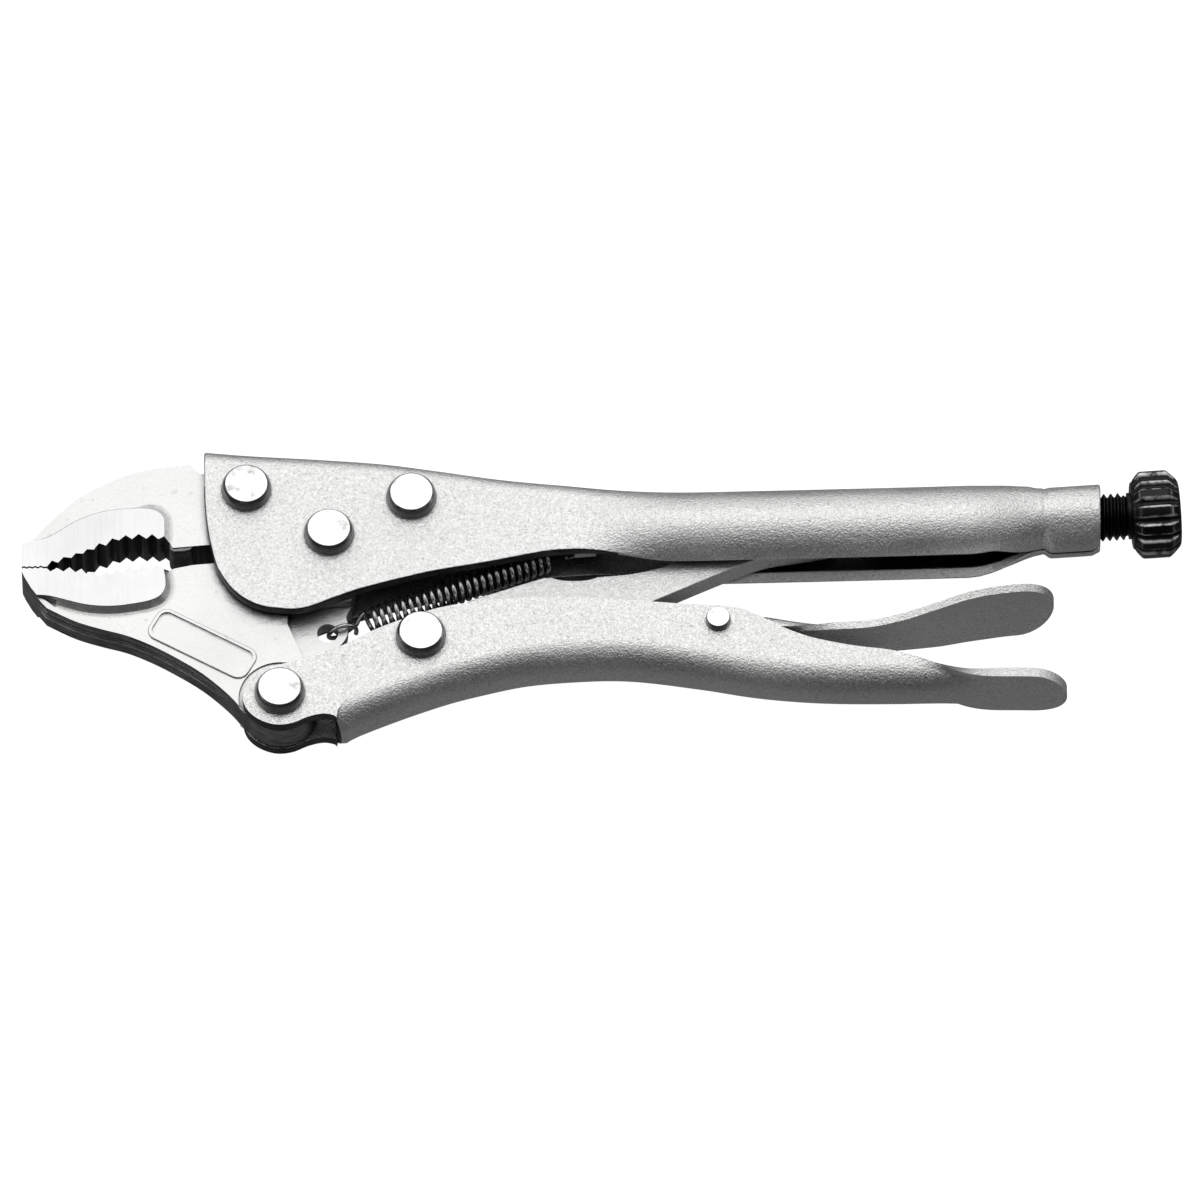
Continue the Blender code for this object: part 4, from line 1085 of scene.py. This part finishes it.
def fillet(cx, cz, r, a0, a1, n=5):
    return [(cx + r * math.cos(math.radians(mix(a0, a1, i / n))),
             cz + r * math.sin(math.radians(mix(a0, a1, i / n)))) for i in range(n + 1)]


def rivet(node, body, centre, seat, top, shank=SHANK_R, rim=HEAD_R, flat=HEAD_TOP_R):
    s = seat + 0.02
    k = rim / HEAD_R
    h = top - s
    # drum with a faint upset ring, soft shoulder and a slightly crowned flat top
    up = ([(shank, s), (rim - 0.2, s)] + fillet(rim - 0.12, s + 0.12, 0.12, -90, 0, 3)
          + [(rim, s + h * 0.30), (rim - 0.10 * k, s + h * 0.36), (rim - 0.10 * k, s + h * 0.42),
             (rim - 0.08 * k, s + h * 0.48), (rim - 0.30 * k, top - 0.85 * k), (rim - 0.50 * k, top - 0.45 * k)]
          + fillet(flat - 0.10 * k, top - 0.30 * k, 0.28 * k, 25, 85, 5)
          + [(flat * 0.6, top - 0.02), (flat * 0.3, top - 0.005), (0.25, top)])
    ob = turned(node + "_body", centre, [(r, -z) for r, z in reversed(up)] + up)
    ob.data.shade_smooth()
    ob.data.set_sharp_from_angle(angle=math.radians(60))
    stand_in(ob, body, node)


rivet("jaw_pivot_rivet", "upper_handle", JAW_PIVOT, UPPER_HALF_W, MID_Z)
rivet("upper_jaw_front_rivet", "upper_handle", FRONT_RIVET, UPPER_HALF_W, MID_Z)
rivet("upper_jaw_rear_rivet", "upper_handle", REAR_RIVET, UPPER_HALF_W, MID_Z)
rivet("handle_pivot_rivet", "lower_jaw", HANDLE_PIVOT, LOWER_HALF_W, 9.2)
rivet("link_pivot_rivet", "lower_handle", LINK_PIVOT, LOWER_HALF_W, 9.2)
rivet("release_lever_pin", "lower_handle", RELEASE_PIVOT, LOWER_HALF_W, 8.1, PIN_R, PIN_HEAD_R, 2.35)


# ================================================================== adjusting screw and knob
def on_screw(x, r, a):
    s, c = math.sin(ANGLE), math.cos(ANGLE)
    d = (x - SCREW_POINT[0]) / c
    y, z = r * math.sin(a), r * math.cos(a)
    return (SCREW_POINT[0] + d * c - y * s, SCREW_POINT[1] + d * s + y * c, z)


PITCH, ROOT_R = 1.5, 4.25
THREAD_END = 172.2


def thread_r(x, a):
    ph = ((x / PITCH) - a / (2 * math.pi)) % 1.0
    tri = 1 - abs(2 * ph - 1)                       # 0 at the root, 1 at the crest
    tri = min(1.0, max(0.0, (tri - 0.12) / 0.76))
    r = mix(ROOT_R, SCREW_R - 0.02, tri)
    start = step(x, SCREW_TIP + 0.2, SCREW_TIP + 3.0)
    end = 1 - step(x, THREAD_END - 0.9, THREAD_END)
    return mix(mix(2.4, ROOT_R, step(x, SCREW_TIP, SCREW_TIP + 1.6)), r, start * end) if end > 0 else ROOT_R


sides = 48
rings = []
x = SCREW_TIP
while x <= THREAD_END:
    rings.append([on_screw(x, thread_r(x, 2 * math.pi * i / sides), 2 * math.pi * i / sides) for i in range(sides)])
    x += PITCH / 12
for x, r in ((THREAD_END + 0.1, ROOT_R), (THREAD_END + 0.2, SCREW_R - 0.1), (KNOB_START - 0.05, SCREW_R - 0.1)):
    rings.append([on_screw(x, r, 2 * math.pi * i / sides) for i in range(sides)])
v, f = loft(rings)
screw = make("adjusting_screw_thread", v, f, BLACK)
screw.data.set_sharp_from_angle(angle=math.radians(50))
stand_in(screw, "adjusting_screw", "adjusting_screw")


def knob_r(r, depth, a):
    """Fluted outline: wide lands between narrow rounded grooves."""
    p = (a * KNOB_FLUTES / (2 * math.pi)) % 1.0
    d = abs(p - 0.5) * 2                             # 0 mid-groove, 1 mid-land
    g = 1 - step(d, 0.18, 0.52)
    return r - depth * KNOB_FLUTE_DEPTH * 1.05 * g - 0.12 * (d - 0.6) * (d > 0.6) * 0


profile = [(KNOB_START, 4.6, 0), (KNOB_START, 6.9, 0)] + [
    (KNOB_START + 0.35 - 0.35 * math.cos(math.radians(q)), 6.9 + 0.4 * math.sin(math.radians(q)), 0.0) for q in (30, 60, 90)]
profile += [(KNOB_START + 0.8, 8.05, 0.45), (KNOB_START + 1.2, 8.55, 0.75), (KNOB_START + 1.6, 9.0, 0.95),
            (KNOB_START + 1.9, 9.28, 1.0), (KNOB_START + 2.2, KNOB_R - 0.04, 1.0), (KNOB_START + 2.5, KNOB_R, 1.0)]
profile += [(mix(KNOB_START + 2.5, KNOB_END - 2.9, i / 5), KNOB_R, 1.0) for i in range(1, 6)]
profile += [(KNOB_END - 2.6, KNOB_R - 0.05, 1.0), (KNOB_END - 2.3, 9.25, 1.0), (KNOB_END - 1.85, 8.85, 0.95),
            (KNOB_END - 1.35, 8.4, 0.75), (KNOB_END - 0.8, 7.85, 0.45), (KNOB_END - 0.4, 7.4, 0.2),
            (KNOB_END - 0.15, 6.95, 0.0), (KNOB_END - 0.03, 6.5, 0.0), (KNOB_END, 6.0, 0.0), (KNOB_END, 3.2, 0.0)]
sides = KNOB_FLUTES * 16
v, f = loft([[on_screw(x, knob_r(r, d, 2 * math.pi * i / sides), 2 * math.pi * i / sides) for i in range(sides)]
             for x, r, d in profile])
knob = make("adjusting_knob_fluted", v, f, BLACK)
# bright lines at the flute edges and shoulder rims, partly wear and partly painted highlight
wear_and_highlight = knob.data.attributes.new("wear_and_highlight", 'FLOAT', 'POINT')
for k, (x, r, d) in enumerate(profile):
    for i in range(sides):
        q = (2 * math.pi * i / sides * KNOB_FLUTES / (2 * math.pi)) % 1.0
        q = abs(q - 0.5) * 2
        line = min(1.0, 1.5 * max(0.0, 1 - abs(q - 0.45) / 0.22)) * (0.35 + 0.65 * d)
        rim = 0.7 * max(0.0, 1 - abs(r - 8.9) / 0.6) * (q > 0.45)
        wear_and_highlight.data[k * sides + i].value = min(1.0, max(line, rim))
knob.data.set_sharp_from_angle(angle=math.radians(60))
stand_in(knob, "adjusting_knob", "adjusting_knob")


# ================================================================== tension spring
def spring_path(per_turn=20):
    ax, ay = TAB_HOLE
    bx, by = SPRING_ANCHOR
    length = math.hypot(bx - ax, by - ay)
    ux, uy = (bx - ax) / length, (by - ay) / length
    place = lambda s, h, z: (ax + ux * s - uy * h, ay + uy * s + ux * h, z)
    loop_r, start, end = 3.0, 9.6, length - 8.0
    pts = []
    c0 = 3.3
    for i in range(37):
        a = math.radians(mix(-20, 300, i / 36))
        pts.append((c0 + loop_r * math.cos(a), mix(-1.0, 1.0, i / 36), loop_r * math.sin(a)))
    pts.append((c0 + 3.9, 1.2, -1.2))
    turns = round((end - start) / SPRING_PITCH)
    lead = []
    for i in range(turns * per_turn + 1):
        a = 2 * math.pi * i / per_turn
        s = mix(start, end, i / (turns * per_turn))
        lead.append((s, SPRING_R * math.cos(a), -SPRING_R * math.sin(a)))
    # ease from the hook into the first coil
    last = pts[-1]
    q = lead[0]
    for k in (0.33, 0.66):
        pts.append((mix(last[0], q[0], k), mix(last[1], q[1], k) + 0.25 * math.sin(math.pi * k), mix(last[2], q[2], k)))
    pts += lead
    c1 = length - 2.1
    pts.append((c1 - 3.4, 1.4, 1.2))
    for i in range(31):
        a = math.radians(mix(120, -170, i / 30))
        pts.append((c1 + 2.1 * math.cos(a), mix(0.9, -0.9, i / 30), 2.1 * math.sin(a)))
    return [place(*p) for p in pts]


def wire(points, r, sides=12):
    rings, side = [], None
    for i, p in enumerate(points):
        a, b = points[max(0, i - 1)], points[min(len(points) - 1, i + 1)]
        d = [b[k] - a[k] for k in range(3)]
        m = math.sqrt(sum(c * c for c in d))
        d = [c / m for c in d]
        if side is None:
            side = [0.0, 0.0, 1.0] if abs(d[2]) < 0.8 else [0.0, 1.0, 0.0]
        dot = sum(side[k] * d[k] for k in range(3))
        side = [side[k] - dot * d[k] for k in range(3)]
        m = math.sqrt(sum(c * c for c in side))
        side = [c / m for c in side]
        up = [d[1] * side[2] - d[2] * side[1], d[2] * side[0] - d[0] * side[2],
              d[0] * side[1] - d[1] * side[0]]
        rings.append([tuple(p[k] + r * (math.cos(2 * math.pi * j / sides) * side[k]
                                        + math.sin(2 * math.pi * j / sides) * up[k])
                            for k in range(3)) for j in range(sides)])
    return loft(rings)


v, f = wire(spring_path(), WIRE_R)
spring = make("tension_spring_wire", v, f, SPRINGMAT)
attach(spring, "upper_handle")
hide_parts("tension_spring")
spring.parent = None
P0 = [c * MM for c in SPRING_ANCHOR]
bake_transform(spring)


# ================================================================== stage
def plane(name, size, z):
    me = bpy.data.meshes.new(name)
    me.from_pydata([(-size, -size, z), (size, -size, z), (size, size, z), (-size, size, z)], [], [(0, 1, 2, 3)])
    ob = bpy.data.objects.new(name, me)
    bpy.context.scene.collection.objects.link(ob)
    return ob


floor = plane("floor", 6.0, -0.0002)
fm = bpy.data.materials.new("pale_floor")
fm.use_nodes = True
fb = fm.node_tree.nodes["Principled BSDF"]
fb.inputs["Base Color"].default_value = (0.25, 0.25, 0.25, 1)
fb.inputs["Roughness"].default_value = 0.9
fb.inputs["Specular IOR Level"].default_value = 0.1
fb.inputs["Emission Color"].default_value = (1, 1, 1, 1)
fb.inputs["Emission Strength"].default_value = 1.0
# what the metal mirrors of the floor is a dark card, as on a light table with a narrow field
fn, fl = fm.node_tree.nodes, fm.node_tree.links
lp = fn.new("ShaderNodeLightPath")
card = fn.new("ShaderNodeEmission")
# the card fades away from the tool
ftc = fn.new("ShaderNodeTexCoord")
fln = fn.new("ShaderNodeVectorMath")
fln.operation = 'LENGTH'
fl.new(ftc.outputs["Object"], fln.inputs[0])
fr = fn.new("ShaderNodeMapRange")
fr.inputs["From Min"].default_value = 0.10
fr.inputs["From Max"].default_value = 0.60
fr.inputs["To Min"].default_value = 0.165
fr.inputs["To Max"].default_value = 0.05
fl.new(fln.outputs["Value"], fr.inputs["Value"])
fl.new(fr.outputs["Result"], card.inputs["Color"])
fmix = fn.new("ShaderNodeMixShader")
fl.new(lp.outputs["Is Camera Ray"], fmix.inputs["Fac"])
fl.new(card.outputs[0], fmix.inputs[1])
fl.new(fb.outputs[0], fmix.inputs[2])
fl.new(fmix.outputs[0], fn["Material Output"].inputs["Surface"])
floor.data.materials.append(fm)


def area(name, loc, target, size, power, size_y=None):
    d = bpy.data.lights.new(name, 'AREA')
    d.energy = power
    d.shape = 'RECTANGLE'
    d.size = size
    d.size_y = size_y or size
    ob = bpy.data.objects.new(name, d)
    ob.location = loc
    v = [t - l for t, l in zip(target, loc)]
    from mathutils import Vector
    ob.rotation_euler = Vector(v).to_track_quat('-Z', 'Y').to_euler()
    bpy.context.scene.collection.objects.link(ob)
    return ob


C = (0.0584, -0.0123, 0.010)
area("key_above", (C[0] - 0.05, C[1] + 0.42, 0.95), C, 1.0, 1.75, 0.7)
area("left_fill", (C[0] - 0.85, C[1] + 0.05, 0.45), C, 0.6, 1.0, 0.5)
area("right_fill", (C[0] + 0.9, C[1] + 0.1, 0.4), C, 0.5, 0.7, 0.4)

world = bpy.data.worlds.new("studio")
bpy.context.scene.world = world
world.use_nodes = True
wt = world.node_tree
wn, wl = wt.nodes, wt.links
bg = wn["Background"]
tc = wn.new("ShaderNodeTexCoord")
sep = wn.new("ShaderNodeSeparateXYZ")
wl.new(tc.outputs["Generated"], sep.inputs["Vector"])
mz = wn.new("ShaderNodeMath"); mz.operation = 'MULTIPLY_ADD'
wl.new(sep.outputs["Z"], mz.inputs[0]); mz.inputs[1].default_value = 0.75; mz.inputs[2].default_value = 0.0
my = wn.new("ShaderNodeMath"); my.operation = 'MULTIPLY_ADD'
wl.new(sep.outputs["Y"], my.inputs[0]); my.inputs[1].default_value = 0.62
wl.new(mz.outputs[0], my.inputs[2])
wr = wn.new("ShaderNodeValToRGB")
e = wr.color_ramp.elements
e[0].position, e[0].color = 0.05, (0.07, 0.07, 0.07, 1)
e[1].position, e[1].color = 0.86, (0.88, 0.88, 0.88, 1)
m = e.new(0.35); m.color = (0.15, 0.15, 0.15, 1)
m = e.new(0.62); m.color = (0.50, 0.50, 0.50, 1)
wl.new(my.outputs[0], wr.inputs["Fac"])
wl.new(wr.outputs["Color"], bg.inputs["Color"])
bg.inputs["Strength"].default_value = 1.0

cam_data = bpy.data.cameras.new("camera")
cam = bpy.data.objects.new("camera", cam_data)
bpy.context.scene.collection.objects.link(cam)
cam_data.lens = 600
cam_data.sensor_width = 36
cam_data.clip_start = 0.05
el, dist = math.radians(60), 20.0 / 4.64
cam.location = (C[0], C[1] - dist * math.cos(el), C[2] + dist * math.sin(el))
cam.rotation_euler = (math.radians(90) - el, 0, 0)
bpy.context.scene.camera = cam
bpy.context.scene.view_settings.view_transform = 'Standard'
